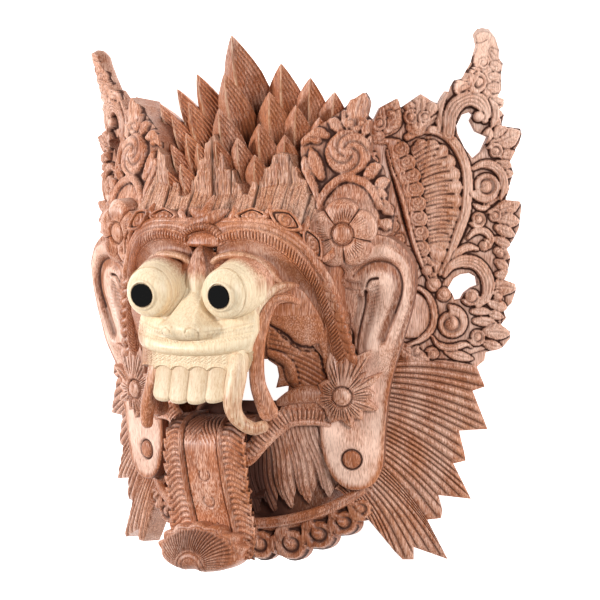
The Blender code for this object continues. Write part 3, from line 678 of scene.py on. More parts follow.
def stretched_noise(tree, scale, detail, rough, distortion=0.0):
    """Noise over the mask, with a scale of its own along each axis, in features to the metre."""
    place = tree.nodes.new("ShaderNodeTexCoord")
    mapping = tree.nodes.new("ShaderNodeMapping")
    mapping.inputs["Scale"].default_value = scale
    tree.links.new(place.outputs["Object"], mapping.inputs["Vector"])
    noise = tree.nodes.new("ShaderNodeTexNoise")
    noise.inputs["Scale"].default_value = 1.0
    noise.inputs["Detail"].default_value = detail
    noise.inputs["Roughness"].default_value = rough
    noise.inputs["Distortion"].default_value = distortion
    tree.links.new(mapping.outputs["Vector"], noise.inputs["Vector"])
    return Signal(tree, noise.outputs["Fac"])


def attribute(tree, name):
    """A value that the piece's points carry."""
    made = tree.nodes.new("ShaderNodeAttribute")
    made.attribute_name = name
    return Signal(tree, made.outputs["Fac"])


def new_look(name):
    """A material and its shader."""
    look = bpy.data.materials.new(name)
    look.use_nodes = True
    return look, look.node_tree.nodes["Principled BSDF"]


DARK_WOOD = (0.20, 0.056, 0.020)
RED_WOOD = (0.43, 0.136, 0.050)
LIGHT_WOOD = (0.63, 0.255, 0.115)
DARK_STREAK = (0.66, 0.60, 0.58)
LIGHT_STREAK = (1.12, 1.12, 1.12)
WAX_BLOOM = (0.97, 0.66, 0.52)
SAPWOOD = (0.82, 0.67, 0.46)
SAPWOOD_LINE = (0.66, 0.46, 0.27)
SAPWOOD_LIGHT = (0.88, 0.76, 0.58)
PAINTED_SHADE_WOOD = (0.060, 0.016, 0.007)
SAPWOOD_PAINTED_SHADE = (0.36, 0.20, 0.10)
LACQUER_BLACK = (0.004, 0.004, 0.004)
LACQUER_SPECK = (0.07, 0.05, 0.04)


def wood_material():
    """Red-brown heartwood with upright grain, open pores and wax bloom, the face's cream sapwood, and
    painted shade.
    """
    look, shader = new_look("carved_wood")
    tree = look.node_tree
    broad = stretched_noise(tree, (16, 6, 16), 3, 0.6)
    fibre = stretched_noise(tree, (700, 42, 700), 4, 0.65, 0.3)
    fine = stretched_noise(tree, (1700, 130, 1700), 2, 0.6)
    pore = stretched_noise(tree, (1100, 190, 1100), 1, 0.5)
    patch = stretched_noise(tree, (55, 26, 55), 3, 0.6)
    bloom, crevice, pale = [attribute(tree, name) for name in ("bloom", "crevice", "pale")]
    pores = ((pore - 0.60).kept() * 9.0).kept()
    waxed = (((patch - 0.5) * 1.6 + bloom + (fine - 0.5) * 2.4) * 0.85).kept()
    heart = (broad * 0.8 + fibre * 0.8).ramp((0.50, DARK_WOOD), (0.76, RED_WOOD), (1.00, LIGHT_WOOD))
    heart = heart.under(0.8, fine.ramp((0.36, DARK_STREAK), (0.64, LIGHT_STREAK)), "MULTIPLY")
    heart = heart.under(pores * 0.65, DARK_WOOD).under(waxed, WAX_BLOOM)
    # Painted shade darkens the heartwood in hollows, under parts and on walls
    heart = heart.under((crevice * 1.2).kept(), PAINTED_SHADE_WOOD)
    sap = (fibre * 0.6 + fine * 0.4).ramp((0.34, SAPWOOD_LINE), (0.55, SAPWOOD), (0.75, SAPWOOD_LIGHT))
    # Painted shade darkens the sapwood in the same places
    sap = sap.under((crevice * 0.85).kept(), SAPWOOD_PAINTED_SHADE)
    # The grain makes the sapwood's edge uneven
    between = (pale - pale * pale) * 4.0
    share = (pale + (fibre - 0.5) * 1.6 * between).kept()
    heart.under(share, sap).into(shader.inputs["Base Color"])
    (fibre * 0.25 + 0.27 + crevice * 0.35).into(shader.inputs["Roughness"])
    shader.inputs["Specular IOR Level"].default_value = 0.45
    bump = tree.nodes.new("ShaderNodeBump")
    bump.inputs["Strength"].default_value = 0.4
    bump.inputs["Distance"].default_value = 0.0004
    (fine * 0.5 - pores * 0.6 + fibre * 0.6).into(bump.inputs["Height"])
    tree.links.new(bump.outputs["Normal"], shader.inputs["Normal"])
    return look


def lacquer_material():
    """The glossy black of the pupils."""
    look, shader = new_look("black_lacquer")
    speck = stretched_noise(look.node_tree, (900, 900, 900), 2, 0.6)
    speck.ramp((0.68, LACQUER_BLACK), (0.90, LACQUER_SPECK)).into(shader.inputs["Base Color"])
    shader.inputs["Roughness"].default_value = 0.16
    shader.inputs["Specular IOR Level"].default_value = 0.22
    return look


WOOD = wood_material()


# Wings
WING_OUTLINE = (
    (96, 118), (112, 128), (115, 135), (119, 143), (132, 150), (134, 143), (136, 144), (149, 153),
    (155, 149), (161, 146), (163, 151), (166, 155), (169, 154), (170, 158), (173, 163), (178, 164),
    (181, 169), (185, 176), (188, 188), (186, 196), (189, 200), (193, 201), (198, 200), (203, 194),
    (206, 185), (206, 179), (209, 175), (208, 169), (208, 163), (208, 156), (205, 151), (210, 149),
    (209, 144), (206, 142), (210, 138), (208, 130), (215, 129), (222, 128), (223, 124), (221, 117),
    (219, 114), (214, 104), (217, 96), (211, 76), (222, 75), (223, 71), (221, 55), (217, 47), (212, 40),
    (215, 33), (213, 24), (210, 18), (218, 15), (219, 10), (216, 1), (210, -5), (212, -10), (208, -15),
    (215, -20), (215, -25), (209, -32), (197, -35), (196, -41), (190, -46), (150, -50), (96, -60),
)
UPPER_HOLE = (
    (179, 138), (185, 140), (187, 138), (185, 134), (189, 126), (198, 122), (193, 111), (187, 106),
    (181, 114), (176, 124), (175, 130),
)
LOWER_HOLE = (
    (169, 12), (173, 19), (178, 22), (185, 23), (190, 20), (191, 14), (186, 12), (181, 8), (179, 4),
    (174, 3), (172, 8),
)
SHELL_RIM = (
    (139, 121.5), (147.5, 126), (156.3, 127), (165, 124.1), (172.5, 117.9), (178.1, 109.1), (182, 98.5),
    (183.1, 87.3), (182.5, 76), (181.3, 66), (178.1, 57), (174, 46), (169, 33.5), (163, 22.3),
)
SHELL_LOBES = (
    (143, 118), (149, 120.4), (156, 120), (165, 116.8), (172, 108.5), (176.5, 98.8), (179, 88), (179, 76),
    (178, 66), (175.5, 56), (172, 46), (168.5, 36), (165.5, 28), (161.5, 21),
)
SHELL_INNER = (
    (160, 18), (156, 30), (154, 42), (153, 53), (152, 64), (151, 75), (149, 87), (146, 98), (142, 110),
)
RUFFLE = (
    (137, 120), (142.5, 109), (147.5, 97), (150.4, 86), (152.1, 74), (153.2, 63), (154.2, 52), (154.8, 42),
    (156.5, 32), (160, 22), (164, 14),
)
RUFFLE_INNER = (
    (158, 14), (152, 27), (147, 39), (143.5, 50), (140.5, 62), (137.5, 73.5), (133.5, 86), (129, 98),
    (126, 109), (129, 119),
)
STEM = ((124, 112), (127, 99.5), (131.8, 86.5), (135.8, 74), (139, 62), (142, 50), (145.6, 39), (150.5, 27),
        (156, 15))
UPPER_SCROLL = (
    (168.8, 124), (169.4, 131), (170.4, 138), (175, 145.6), (182.5, 149.6), (190.5, 148), (195.8, 141),
    (195.5, 134),
)
LOWER_SCROLL = (
    (166, 21), (171, 28), (180, 31.5), (189.5, 29.5), (196.3, 21.5), (198.2, 12.3), (196, 4.8),
    (190.5, 0.5),
)
# Leaves: foot, middle, tip, width, height and the distance between veins, or 0 for none
LEAVES = (
    ((117, 126), (124, 136), (131.7, 149.5), 22, 2.4, 4.2),
    ((124, 127), (129, 133), (134, 142), 9, 3.0, 3.2),
    ((146, 130), (148, 141), (148.8, 152.5), 24, 2.4, 4.2),
    ((142, 141), (139.5, 145), (138, 147.5), 7, 2.8, 0), ((155, 139), (157, 143), (158.5, 147), 8, 2.8, 0),
    ((181, 150), (177, 157), (173.2, 163), 9, 2.9, 0), ((184, 151), (180.5, 159), (178.5, 167), 8, 3.3, 0),
    ((188, 154), (185, 162), (184.5, 171), 7, 2.6, 0), ((200, 184), (204, 180.5), (206.5, 178), 7, 2.8, 0),
    ((201, 174), (205, 172.5), (209, 174), 7.5, 3.2, 0), ((200, 166), (204, 165), (209, 166), 7.5, 3.2, 0),
    ((199, 158), (203, 157.5), (208, 159), 8, 3.0, 0), ((201, 150), (205, 149), (210, 149.5), 8, 2.8, 0),
    ((203, 142), (206, 141), (208.5, 140.5), 7, 2.8, 0), ((202, 133), (205, 132), (207, 131), 8, 2.8, 0),
    ((202, 117), (212, 121), (221.7, 126), 14, 2.6, 3.6), ((203, 123), (207, 127), (212, 128.6), 7, 3.0, 0),
    ((207, 109), (213, 108.5), (219, 111), 8.5, 2.4, 3),
    ((205, 103), (210, 101.5), (216.5, 102), 7, 2.2, 0), ((196, 119), (198, 124), (199.5, 129), 7, 2.8, 0),
    ((209, 94), (213, 95), (217, 95.5), 6, 2.0, 0), ((210, 86), (212.5, 83), (213, 79), 5, 2.0, 0),
    ((204, 68), (213, 71), (221.8, 74.5), 11, 2.8, 3.4),
    ((206, 62.5), (214, 61), (221.6, 60), 10, 2.4, 3.4), ((205, 56), (211, 53), (218, 50), 8, 2.6, 3),
    ((196, 73), (202, 77), (207, 77), 6, 2.2, 0), ((204, 47.5), (209, 45), (215, 42.5), 7, 2.4, 0),
    ((205, 39), (210, 36.5), (214.5, 34), 9, 2.6, 3.2), ((205, 31), (209, 28.5), (213, 26), 7, 2.2, 0),
    ((203, 13), (211, 13.5), (218.8, 11), 13, 2.6, 3.6), ((205, 21.5), (210, 21.5), (216, 19), 7, 2.2, 0),
    ((200, 1), (206, -1), (213, -4), 8, 2.4, 3), ((199, -6), (204, -8), (210, -9.5), 6, 2.2, 0),
    ((187, -5), (194, -5), (201, -6), 6, 2.6, 0), ((189, -12), (197, -12.5), (205, -14), 7, 2.4, 0),
    ((197, -20), (206, -20), (214.6, -22), 11, 2.6, 3.2),
    ((196, -28), (202, -30), (208.5, -31.5), 7, 2.2, 0), ((134, -31), (143, -37), (156, -41), 12, 2.2, 3.2),
    ((168, -34), (177, -37.5), (188, -40), 7, 2.2, 0), ((160, -42), (172, -44), (187, -45), 5, 1.8, 0),
)
# Curls: middle, radius, height, hand, where the outline starts, and the boss's share
CURLS = (
    (113, 104, 6.4, 2.6, -1, 60, 0.36), (116, 91, 6.4, 2.6, 1, 300, 0.34),
    (120.5, 79.5, 6.0, 2.6, -1, 60, 0.36), (125, 68.5, 5.6, 2.6, 1, 300, 0.36),
    (129, 57.5, 5.4, 2.4, -1, 60, 0.36), (133.5, 47, 5.2, 2.4, 1, 300, 0.36),
    (138.5, 36.5, 5.0, 2.2, -1, 60, 0.36), (144, 27.5, 4.4, 2.2, 1, 300, 0.36),
    (118, 132, 5.8, 3.2, -1, 200, 0.36), (126, 139, 3.6, 3.2, 1, 20, 0.4),
    (141.5, 136, 5.6, 3.2, -1, 60, 0.36), (151.5, 136, 4.8, 3.2, 1, 220, 0.36),
    (176.5, 157.5, 3.8, 3.4, -1, 60, 0.4), (188, 162, 9.0, 3.8, -1, 140, 0.30),
    (193, 175.5, 4.6, 3.8, 1, 60, 0.34), (203, 111.5, 5.8, 3.2, 1, 160, 0.34),
    (196, 86, 11.4, 3.2, -1, 200, 0.32), (202.5, 64.5, 5.4, 3.2, 1, 160, 0.36),
    (190.5, 62, 6.4, 3.0, -1, 200, 0.34), (195, 43, 4.4, 3.2, 1, 90, 0.4),
    (185.6, 5.8, 6.6, 4.2, -1, 200, 0.44), (205, 6, 4.4, 2.8, 1, 160, 0.4),
    (207, 36.5, 3.6, 3.0, 1, 160, 0.4), (171, -13.5, 12.0, 3.6, 1, 100, 0.34),
    (190, -23.5, 6.4, 3.2, -1, 200, 0.34), (157.5, -36, 5.0, 2.8, 1, 160, 0.4),
    (146, -34, 4.0, 2.8, -1, 60, 0.4),
)
HORN_FOOT, HORN_TIP = 135, 201
LEFT_HORN_LEAN = (6.3, -0.4, 11.0)
RIGHT_HORN_LEAN = (-9.0, -8.0, 13.0)
WING_THICKNESS = 13.0


def round_horn(points):
    """The horn is rounded at its sides, back and tip, where it is carved free of the wing."""
    off = points - WING_PLANE.origin
    across, up, height = off @ WING_PLANE.across, off @ WING_PLANE.up, off @ WING_PLANE.normal
    middle = np.interp(up, (140, 152, 166, 180, 195), (197, 198, 197.5, 197, 195))
    share = grown(up, 146, 18) * (across > 160)
    deep = unit(np.abs(height + 4.6) / 9.2)
    section = 1 - share * (1 - np.sqrt(1 - 0.85 * deep ** 2))
    across = middle + (across - middle) * section
    up = np.where(up > 190, 190 + (up - 190) * np.sqrt(1 - 0.85 * deep ** 2), up)
    height = height + share * 2.6 * grown(-height, 4, 9)
    flat = np.stack([across, up], axis=1)
    return WING_PLANE.place(flat, height)


def lean_horn(lean):
    """The horn of a wing comes forward, more and more towards its tip."""
    def change(points):
        share = np.clip((points[:, 1] - HORN_FOOT) / (HORN_TIP - HORN_FOOT), 0, None)
        return points + share[:, None] ** 1.5 * np.array(lean)
    return change


def lobed_strip(relief, edge, inner, spacing, rise, bulge=3.2, curls=False):
    """A strip between two edges that swells into lobes, with nested curls or a fine contour in each."""
    edge = curve_through(edge)
    region = np.vstack([edge, curve_through(inner)])
    depth = depth_inside(relief.places, region)
    chosen = np.flatnonzero(depth > 0)
    distance, along, *_ = near_path(relief.places[chosen], edge)
    phase = along / spacing
    local = 2 * (phase - np.floor(phase)) - 1
    bay = bulge * (1 - dome(np.abs(local) * 0.98))
    inside = distance > bay
    top = rise + 1.1 * (1 - local ** 2) - 0.05 * distance
    if curls:
        reach = np.hypot(local * spacing / 2 + 1.4, distance - 6.4)
        turn = np.arctan2(distance - 6.4, local * spacing / 2 + 1.4) / math.tau
        top -= 1.3 * groove(reach / 2.6 + turn, 0.5) * (reach < 7.2) * (distance > 1.2)
        top -= 1.6 * grown(np.abs(local), 0.84, 0.16) * (distance < 10)
    else:
        top -= 0.5 * peak(distance - bay, 2.0, 0.6)
    relief.heights[chosen] = np.maximum(relief.heights[chosen] - 1.4 * (distance < bay + 0.1),
                                        relief.ground - 0.6)
    relief.lift(chosen[inside], top[inside])


def wing_relief():
    """The pierced leaf-work of one wing."""
    relief = Relief(WING_OUTLINE, (UPPER_HOLE, LOWER_HOLE), ground=-2.6, spacing=0.55)
    relief.flat(((98, 60), (104, 120), (112, 124), (131, 121), (126, 100), (130, 60), (128, 0), (98, 0)),
                -1.2)
    relief.flat(((112, 122), (133, 120), (121, 100)), 1.2)
    relief.flat(((104, 118), (124, 116), (128, 90), (136, 60), (150, 22), (140, 14), (118, 60), (104, 90)),
                -0.6)
    relief.flat(((183, 110), (200, 130), (215, 124), (212, 100), (214, 60), (210, 0), (205, -30),
                 (160, -44), (140, -40), (160, 4), (172, 30), (186, 60)), -1.4, fall=0)
    # Shell: scalloped inside its rim, with long cuts that start at the ruffle
    relief.flat(np.vstack([curve_through(SHELL_RIM), ((150, 30), (140, 70), (136, 100))]), -1.6)
    lobed_strip(relief, SHELL_LOBES, SHELL_INNER, 10.6, 0.9)
    for number, height in enumerate(np.arange(45, 117, 2.9)):
        foot = np.interp(height, (22, 42, 63, 86, 97, 109, 120),
                         (160, 155, 153.4, 150.6, 147.8, 143, 138)) + 1.2
        slope = np.interp(height, (45, 75, 100, 116), (0.0, 0.16, 0.36, 0.62))
        reach = 16.5 + 3.5 * math.sin(number * 2.4) - 0.1 * max(height - 95, 0)
        path = [(foot + reach * t, height + slope * reach * t + 1.1 * math.sin(t * math.pi))
                for t in (0, 0.35, 0.7, 1)]
        relief.gouge(path, 2.3, 1.5)
    lobed_strip(relief, RUFFLE, RUFFLE_INNER, 10.9, 2.3, bulge=3.6, curls=True)
    relief.band(STEM, 3.6, 3.0)
    relief.band(SHELL_RIM, 7.6, 3.0, grooves=2, depth=0.8, ends=(0.7, 0.4))
    # Horn and the strands below it
    relief.band(((202, 142), (200, 154), (198.5, 168), (197, 182), (194.5, 195), (192, 204)), 22, 3.2,
                ends=(0.7, 1.0))
    relief.gouge(((185, 190.5), (190, 189.5), (196, 192.5)), 1.8, 1.2)
    relief.band(((162.5, 126), (162, 138), (163.5, 148), (165, 154)), 6.5, 2.8, grooves=1)
    relief.band(((186, 172), (189, 168), (190, 163)), 3.5, 3.4)
    for foot, middle, tip, width, rise, veins in LEAVES:
        relief.leaf((foot, middle, tip), width * 1.12, rise, veins=veins, fat=0.4, depth=1.1, contour=0.7)
    relief.band(UPPER_SCROLL, 11.0, 3.9, grooves=3, depth=1.3, ends=(0.8, 0.45), dome=0.12)
    relief.lobe(190.9, 136.6, 4.0, 4.7)
    relief.band(((199, 149), (203, 143), (203.5, 136), (200.5, 129)), 5.5, 3.0, grooves=1)
    relief.band(((187, 99), (194, 102), (202, 100.5), (208, 94), (209.5, 84), (207, 77)), 7, 2.8, grooves=2,
                ends=(0.5, 0.4))
    relief.band(((187, 73), (193, 70), (199, 71)), 4.5, 2.4, grooves=1)
    relief.band(((183, 48), (189, 53.5), (196, 53), (200, 47.5), (199, 42)), 5.5, 2.8, grooves=1,
                ends=(0.4, 0.6))
    relief.band(((171, 29), (176, 37.5), (183, 41.5), (190, 40.5)), 6.0, 3.0, grooves=2, ends=(0.4, 0.5))
    relief.band(LOWER_SCROLL, 9.5, 3.9, grooves=3, depth=1.2, ends=(0.35, 0.6), dome=0.12)
    # Half disc beside the ear, and the beads above it
    relief.flat(curve_through(((130, -20), (132, 2), (144, 9), (155, 1), (157.5, -10), (149, -24)),
                              closed=True), 0.2)
    relief.band(((140, 13), (149, 11), (156, 3.5), (158.8, -8), (156.5, -18), (149, -25.5), (138, -30)),
                5.4, 2.4, grooves=1)
    relief.lobe(153.5, 25, 4.2, 2.8)
    relief.lobe(158.4, 14.5, 5.6, 3.0)
    relief.lobe(165.8, 7.4, 5.4, 2.8)
    relief.gouge(((154, 17), (158, 12), (163, 12)), 1.4, 1.0)
    relief.gouge(((161, 10), (165, 5), (170, 6)), 1.4, 1.0)
    relief.band(((157, -23), (162, -29.5), (171, -31.5), (182, -29), (186, -31)), 5, 2.8, grooves=1)
    for x, y, radius, rise, hand, start, boss in CURLS:
        relief.hook(x, y, radius, rise, hand, start, boss)
    for loop in (
        ((205, 118), (224, 118), (224, 130), (205, 126)), ((208, 66), (224, 68), (224, 76), (208, 72)),
        ((208, 50), (222, 50), (223, 64), (208, 64)), ((200, -32), (217, -28), (217, -16), (200, -14)),
        ((120, 136), (132, 148), (138, 143), (128, 132)), ((144, 141), (149, 153), (158, 146), (154, 140)),
        ((205, 4), (220, 8), (220, 15), (205, 16)),
    ):
        relief.pit(loop, 0.7, size=2.0)
    relief.soften(1)
    relief.heights += 0.12 * ripple(relief.places, 5.0)
    relief.round_edge(1.2)
    return relief


def wing_wax_and_painted_shade(points):
    """Wax shows most on the horns and the outer leaves, and the mask's right wing is painted darker, as
    shade.
    """
    outer = np.interp(np.abs(points[:, 0]), (80, 125, 165), (0.18, 0.38, 0.56))
    high = 0.25 * grown(points[:, 1], 110, 60)
    low = 0.15 * grown(points[:, 1], 60, 60) * (np.abs(points[:, 0]) < 130)
    # Less wax colour on the mask's right is painted shade on the far wing
    return outer + high - low - 0.28 * (points[:, 0] < 0)


def make_wings():
    """Both wings, with a horn at the top of each that leans in its own way."""
    carving = wing_relief().carve(WING_PLANE, -WING_THICKNESS).moved(round_horn)
    carving.moved(lean_horn(LEFT_HORN_LEAN)).make("wing_left", bloom=wing_wax_and_painted_shade)
    carving.mirror().moved(lean_horn(RIGHT_HORN_LEAN)).make("wing_right", bloom=wing_wax_and_painted_shade)


# Feather fans under the wings
FAN_ROOT = ((104, -36), (100, -60), (98, -84), (96, -108), (92, -126), (86, -134))
FAN_TIPS = (
    (152, -43), (172, -44.5), (190, -45), (196, -60), (187, -63), (198, -91), (177, -92), (181, -108),
    (182, -114), (173, -116), (186, -142), (162, -139), (165, -150), (164, -156), (154, -157), (169, -186),
    (144, -177), (144, -186), (136, -186), (130, -180), (121, -169), (111, -157), (95, -140),
)
BARBS = 40
FAN_THICKNESS = 14.0


def make_fans():
    """Each fan is ruled by cuts that spread from the ear to its saw-toothed edge."""
    tips = np.array(FAN_TIPS, float)
    lengths = np.concatenate([[0], np.cumsum(np.hypot(*np.diff(tips, axis=0).T))])
    shares = np.unique(np.concatenate([np.linspace(0, 1, BARBS * 6 + 1), lengths / lengths[-1]]))
    root_path = curve_through(FAN_ROOT)
    root_lengths = np.concatenate([[0], np.cumsum(np.hypot(*np.diff(root_path, axis=0).T))])
    ends = np.stack([np.interp(shares, lengths / lengths[-1], tips[:, i]) for i in (0, 1)], axis=1)
    starts = np.stack(
        [np.interp(shares, root_lengths / root_lengths[-1], root_path[:, i]) for i in (0, 1)], axis=1
    )
    along = np.linspace(0, 1, 60)
    flat = starts[:, None] + (ends - starts)[:, None] * along[None, :, None]
    run = ends - starts
    bow = np.stack([-run[:, 1], run[:, 0]], axis=1)
    flat += 0.055 * bow[:, None] * np.sin(along * math.pi)[None, :, None]
    phase = shares * BARBS
    barb = np.abs(np.sin(phase * math.pi)) ** 0.75
    wave = 0.4 * np.sin(phase * 0.9)[:, None] + 0.25 * np.sin(7 * along[None] + 0.7 * phase[:, None])
    swell = (unit(along / 0.15) * np.clip((1.02 - along) / 0.06, 0.3, 1))[None]
    height = 0.9 + 1.8 * (barb[:, None] - 0.5) * swell + 0.6 * wave
    height -= 1.2 * grown(along, 0.93, 0.07)[None] ** 2
    # Painted shade darkens the cuts between the barbs and the fan towards its root
    crevice = unit(0.62 * (1 - barb[:, None]) * swell + 0.5 * unit(0.42 - along)[None])
    rows, columns = height.shape
    carving = Carving()
    front = WING_PLANE.place(flat.reshape(-1, 2), height.ravel())
    back = WING_PLANE.place(flat.reshape(-1, 2), -FAN_THICKNESS)
    faces = grid_faces(rows, columns)[:, ::-1]
    carving.add(front, faces, crevice.ravel())
    # The back and the walls carry a little painted shade
    carving.add(back, faces[:, ::-1], 0.1)
    index = np.arange(rows * columns).reshape(rows, columns)
    rim = np.concatenate([index[:, -1], index[-1, ::-1][1:], index[::-1, 0][1:], index[0][1:]])
    wall = np.vstack([front[rim], back[rim]])
    number = np.arange(len(rim) - 1)
    quads = np.stack([number, number + len(rim), number + len(rim) + 1, number + 1], axis=1)
    carving.add(wall, quads, 0.05)
    carving.make_pair("fan", bloom=0.24)


# Places on the head
CAMERA_TURN = math.radians(30)
CAMERA_RISE = math.radians(2)
CAMERA_DISTANCE = 2.2
VIEW_WIDTH = 0.456
CAMERA_TARGET = (0.0, 0.0, 0.0182)


def head_front(x, y):
    """How far forward the head reaches at places across it."""
    width, reach = head_size(y)
    share = np.clip(np.abs(x) / width, 0, 0.995)
    return reach * (1 - share ** 3.4) ** (1 / 3.4)


def view_axes():
    """Unit vectors to the right, up and back from the view."""
    flat = math.cos(CAMERA_RISE)
    back = np.array((math.sin(CAMERA_TURN) * flat, math.sin(CAMERA_RISE), math.cos(CAMERA_TURN) * flat))
    right = np.cross((0, 1, 0), back)
    right /= np.linalg.norm(right)
    return right, np.cross(back, right), back


class Seen:
    """Places on the head drawn as they look from half left: right and up, from the middle of the view."""

    def __init__(self, front):
        self.front = front
        self.right, self.up, self.back = view_axes()
        self.target = np.array(CAMERA_TARGET) * 1000
        self.eye = self.target + self.back * CAMERA_DISTANCE * 1000

    def place(self, flat, height):
        """Points where the sight lines meet the front, raised towards the camera."""
        flat = np.asarray(flat, float)
        ray = self.target + flat[:, :1] * self.right + flat[:, 1:2] * self.up - self.eye
        depth = np.full(len(flat), 0.94)
        for _ in range(30):
            spot = self.eye + depth[:, None] * ray
            miss = spot[:, 2] - self.front(spot[:, 0], spot[:, 1])
            depth += 0.6 * miss / (CAMERA_DISTANCE * 1000 * 0.86)
        spot = self.eye + depth[:, None] * ray
        return spot + np.broadcast_to(height, len(flat))[:, None] * self.back


class Bend:
    """Upright places whose distance forward follows a rule."""

    def __init__(self, front):
        self.front = front

    def place(self, flat, height):
        x, y = np.asarray(flat, float).T
        return np.stack([x, y, self.front(x, y) + height], axis=1)


def seen(*points):
    """Places given in the picture's own steps of 0.76 mm, counted from its top left corner."""
    step = VIEW_WIDTH * 1000 / 600
    return [((x - 300) * step, (300 - y) * step) for x, y in points]


def both_sides(path):
    """A path that starts in the mask's middle, run on over both halves."""
    return [(-x, y, z) for x, y, z in path[:0:-1]] + list(path)


def finer(grid, rows, columns):
    """A grid of points with more rows and columns, on straight lines between its own."""
    grid = np.asarray(grid, float)
    for axis, count in enumerate((rows, columns)):
        place = np.linspace(0, grid.shape[axis] - 1, count)
        low = np.minimum(place.astype(int), grid.shape[axis] - 2)
        share = np.expand_dims(place - low, (1 - axis, 2))
        grid = np.take(grid, low, axis) * (1 - share) + np.take(grid, low + 1, axis) * share
    return grid


def cuts(depth, count, width, slant=0.0, least=0.0):
    """The lift of a bar's skin that has cuts across its front."""
    def lift(angle, share):
        return -depth * groove(share * count + angle * slant, width) * (np.cos(angle) > least)

    return lift


def even(path, count, each=8):
    """A curve through points, cut into equal steps."""
    curve = curve_through(path, each)
    run = np.concatenate([[0], np.cumsum(np.linalg.norm(np.diff(curve, axis=0), axis=1))])
    place = np.linspace(0, run[-1], count)
    return np.stack([np.interp(place, run, curve[:, i]) for i in range(curve.shape[1])], axis=1), run[-1]


def ribbon(carving, upper, lower, across, along, height, **look):
    """A strip between two curves that run outward, raised by height(place along in mm, share across)."""
    top, length = even(upper, along)
    bottom, _ = even(lower, along)
    share = np.linspace(0, 1, across)[:, None]
    grid = bottom[None] * (1 - share[..., None]) + top[None] * share[..., None]
    carving.sheet(grid, height(np.linspace(0, length, along)[None], share), **look)


# Head
HEAD_SECTIONS = (
    (-166, 52, 88), (-154, 70, 100), (-120, 85, 103), (-78, 96, 106), (-42, 101, 124), (-6, 104, 144),
    (60, 106, 146), (86, 102, 131), (108, 94, 113), (126, 76, 97), (138, 52, 78),
)
HOLLOW_HEIGHTS = (-142, -120, -78, -42, 0, 60, 96, 112)
HOLLOW_WALL = 36
HOLLOW_SIDE = 26
HEAD_INSET = 0.8


def head_size(height):
    """Half width and reach of the head at a height."""
    heights, widths, reaches = np.array(HEAD_SECTIONS, float).T
    return np.interp(height, heights, widths), np.interp(height, heights, reaches)


def half_ring(height, half_width, reach, count, power=3.4):
    """Half of a superellipse over a flat back, at one height up the mask."""
    angle = np.linspace(0, math.pi, count + 1)
    side, front = np.cos(angle), np.clip(np.sin(angle), 0, None)
    x = half_width * np.sign(side) * np.abs(side) ** (2 / power)
    return np.stack([x, np.full(count + 1, float(height)), reach * front ** (2 / power)], axis=1)


def solid_object(name, rings):
    """A closed object through rings of as many points each."""
    shape = bmesh.new()
    loops = [[shape.verts.new(point) for point in ring] for ring in rings]
    count = len(loops[0])
    for first, second in zip(loops, loops[1:]):
        for i in range(count):
            shape.faces.new((first[i], first[(i + 1) % count], second[(i + 1) % count], second[i]))
    shape.faces.new(loops[0])
    shape.faces.new(loops[-1])
    bmesh.ops.recalc_face_normals(shape, faces=shape.faces)
    mesh = bpy.data.meshes.new(name)
    shape.to_mesh(mesh)
    shape.free()
    return placed(name, mesh)


def make_head():
    """The block behind the face, with the hollow that a wearer's face goes into."""
    heights = np.linspace(HEAD_SECTIONS[0][0], HEAD_SECTIONS[-1][0], 90)
    rings = []
    for height in heights:
        width, reach = head_size(height)
        rings.append(half_ring(height, width - HEAD_INSET, reach - HEAD_INSET, 64))
    block = solid_object("head_block", rings)
    hollow_rings = []
    for height in np.linspace(HOLLOW_HEIGHTS[0], HOLLOW_HEIGHTS[-1], 72):
        width, reach = head_size(height)
        ends = min(height - HOLLOW_HEIGHTS[0], HOLLOW_HEIGHTS[-1] - height)
        shrink = 0.72 + 0.28 * min(ends / 16, 1) ** 0.6
        ring = half_ring(height, (width - HOLLOW_SIDE) * shrink, (reach - HOLLOW_WALL) * shrink, 56)
        dent = 0.5 * np.sin(height * 0.55 + 0.8 * np.arange(57)) * np.sin(0.5 * np.arange(57))
        ring[1:-1, 2] += np.clip(dent[1:-1], -0.6, 0.6)
        hollow_rings.append(np.vstack([ring, (ring[-1, 0], height, -10), (ring[0, 0], height, -10)]))
    cutters = [solid_object("hollow_space", hollow_rings)]
    mouth_rings = []
    for depth, half_width in ((50, 39), (110, 46), (150, 60)):
        corners = ((-1, -52), (-0.8, -39), (0.8, -39), (1, -52), (0.85, -77), (-0.85, -77))
        mouth_rings.append([(share * half_width, y, depth) for share, y in corners])
    cutters.append(solid_object("mouth_space", mouth_rings))
    for cutter in cutters:
        bite = block.modifiers.new("Cut", "BOOLEAN")
        bite.operation = "DIFFERENCE"
        bite.object = cutter
        bite.solver = "EXACT"
    bpy.context.view_layer.update()
    mesh = evaluated(block)
    points = np.empty(len(mesh.vertices) * 3, np.float32)
    mesh.vertices.foreach_get("co", points)
    points = points.reshape(-1, 3).astype(float)
    faces = [list(face.vertices) for face in mesh.polygons]
    for made in [block] + cutters:
        bpy.data.objects.remove(made)
    bpy.data.meshes.remove(mesh)
    # Painted shade darkens the middle of the head block, and a painted shadow lies under the chin, behind
    # the tongue
    x, y, z = points.T
    chin = fading(np.abs(x), 62, 40) * fading(y, -100, 20)
    carving = Carving().add(points, [], unit((np.abs(x) < 84) * 0.35 + 0.6 * chin * (z > 60)))
    carving.faces = faces
    carving.make("head", 35)


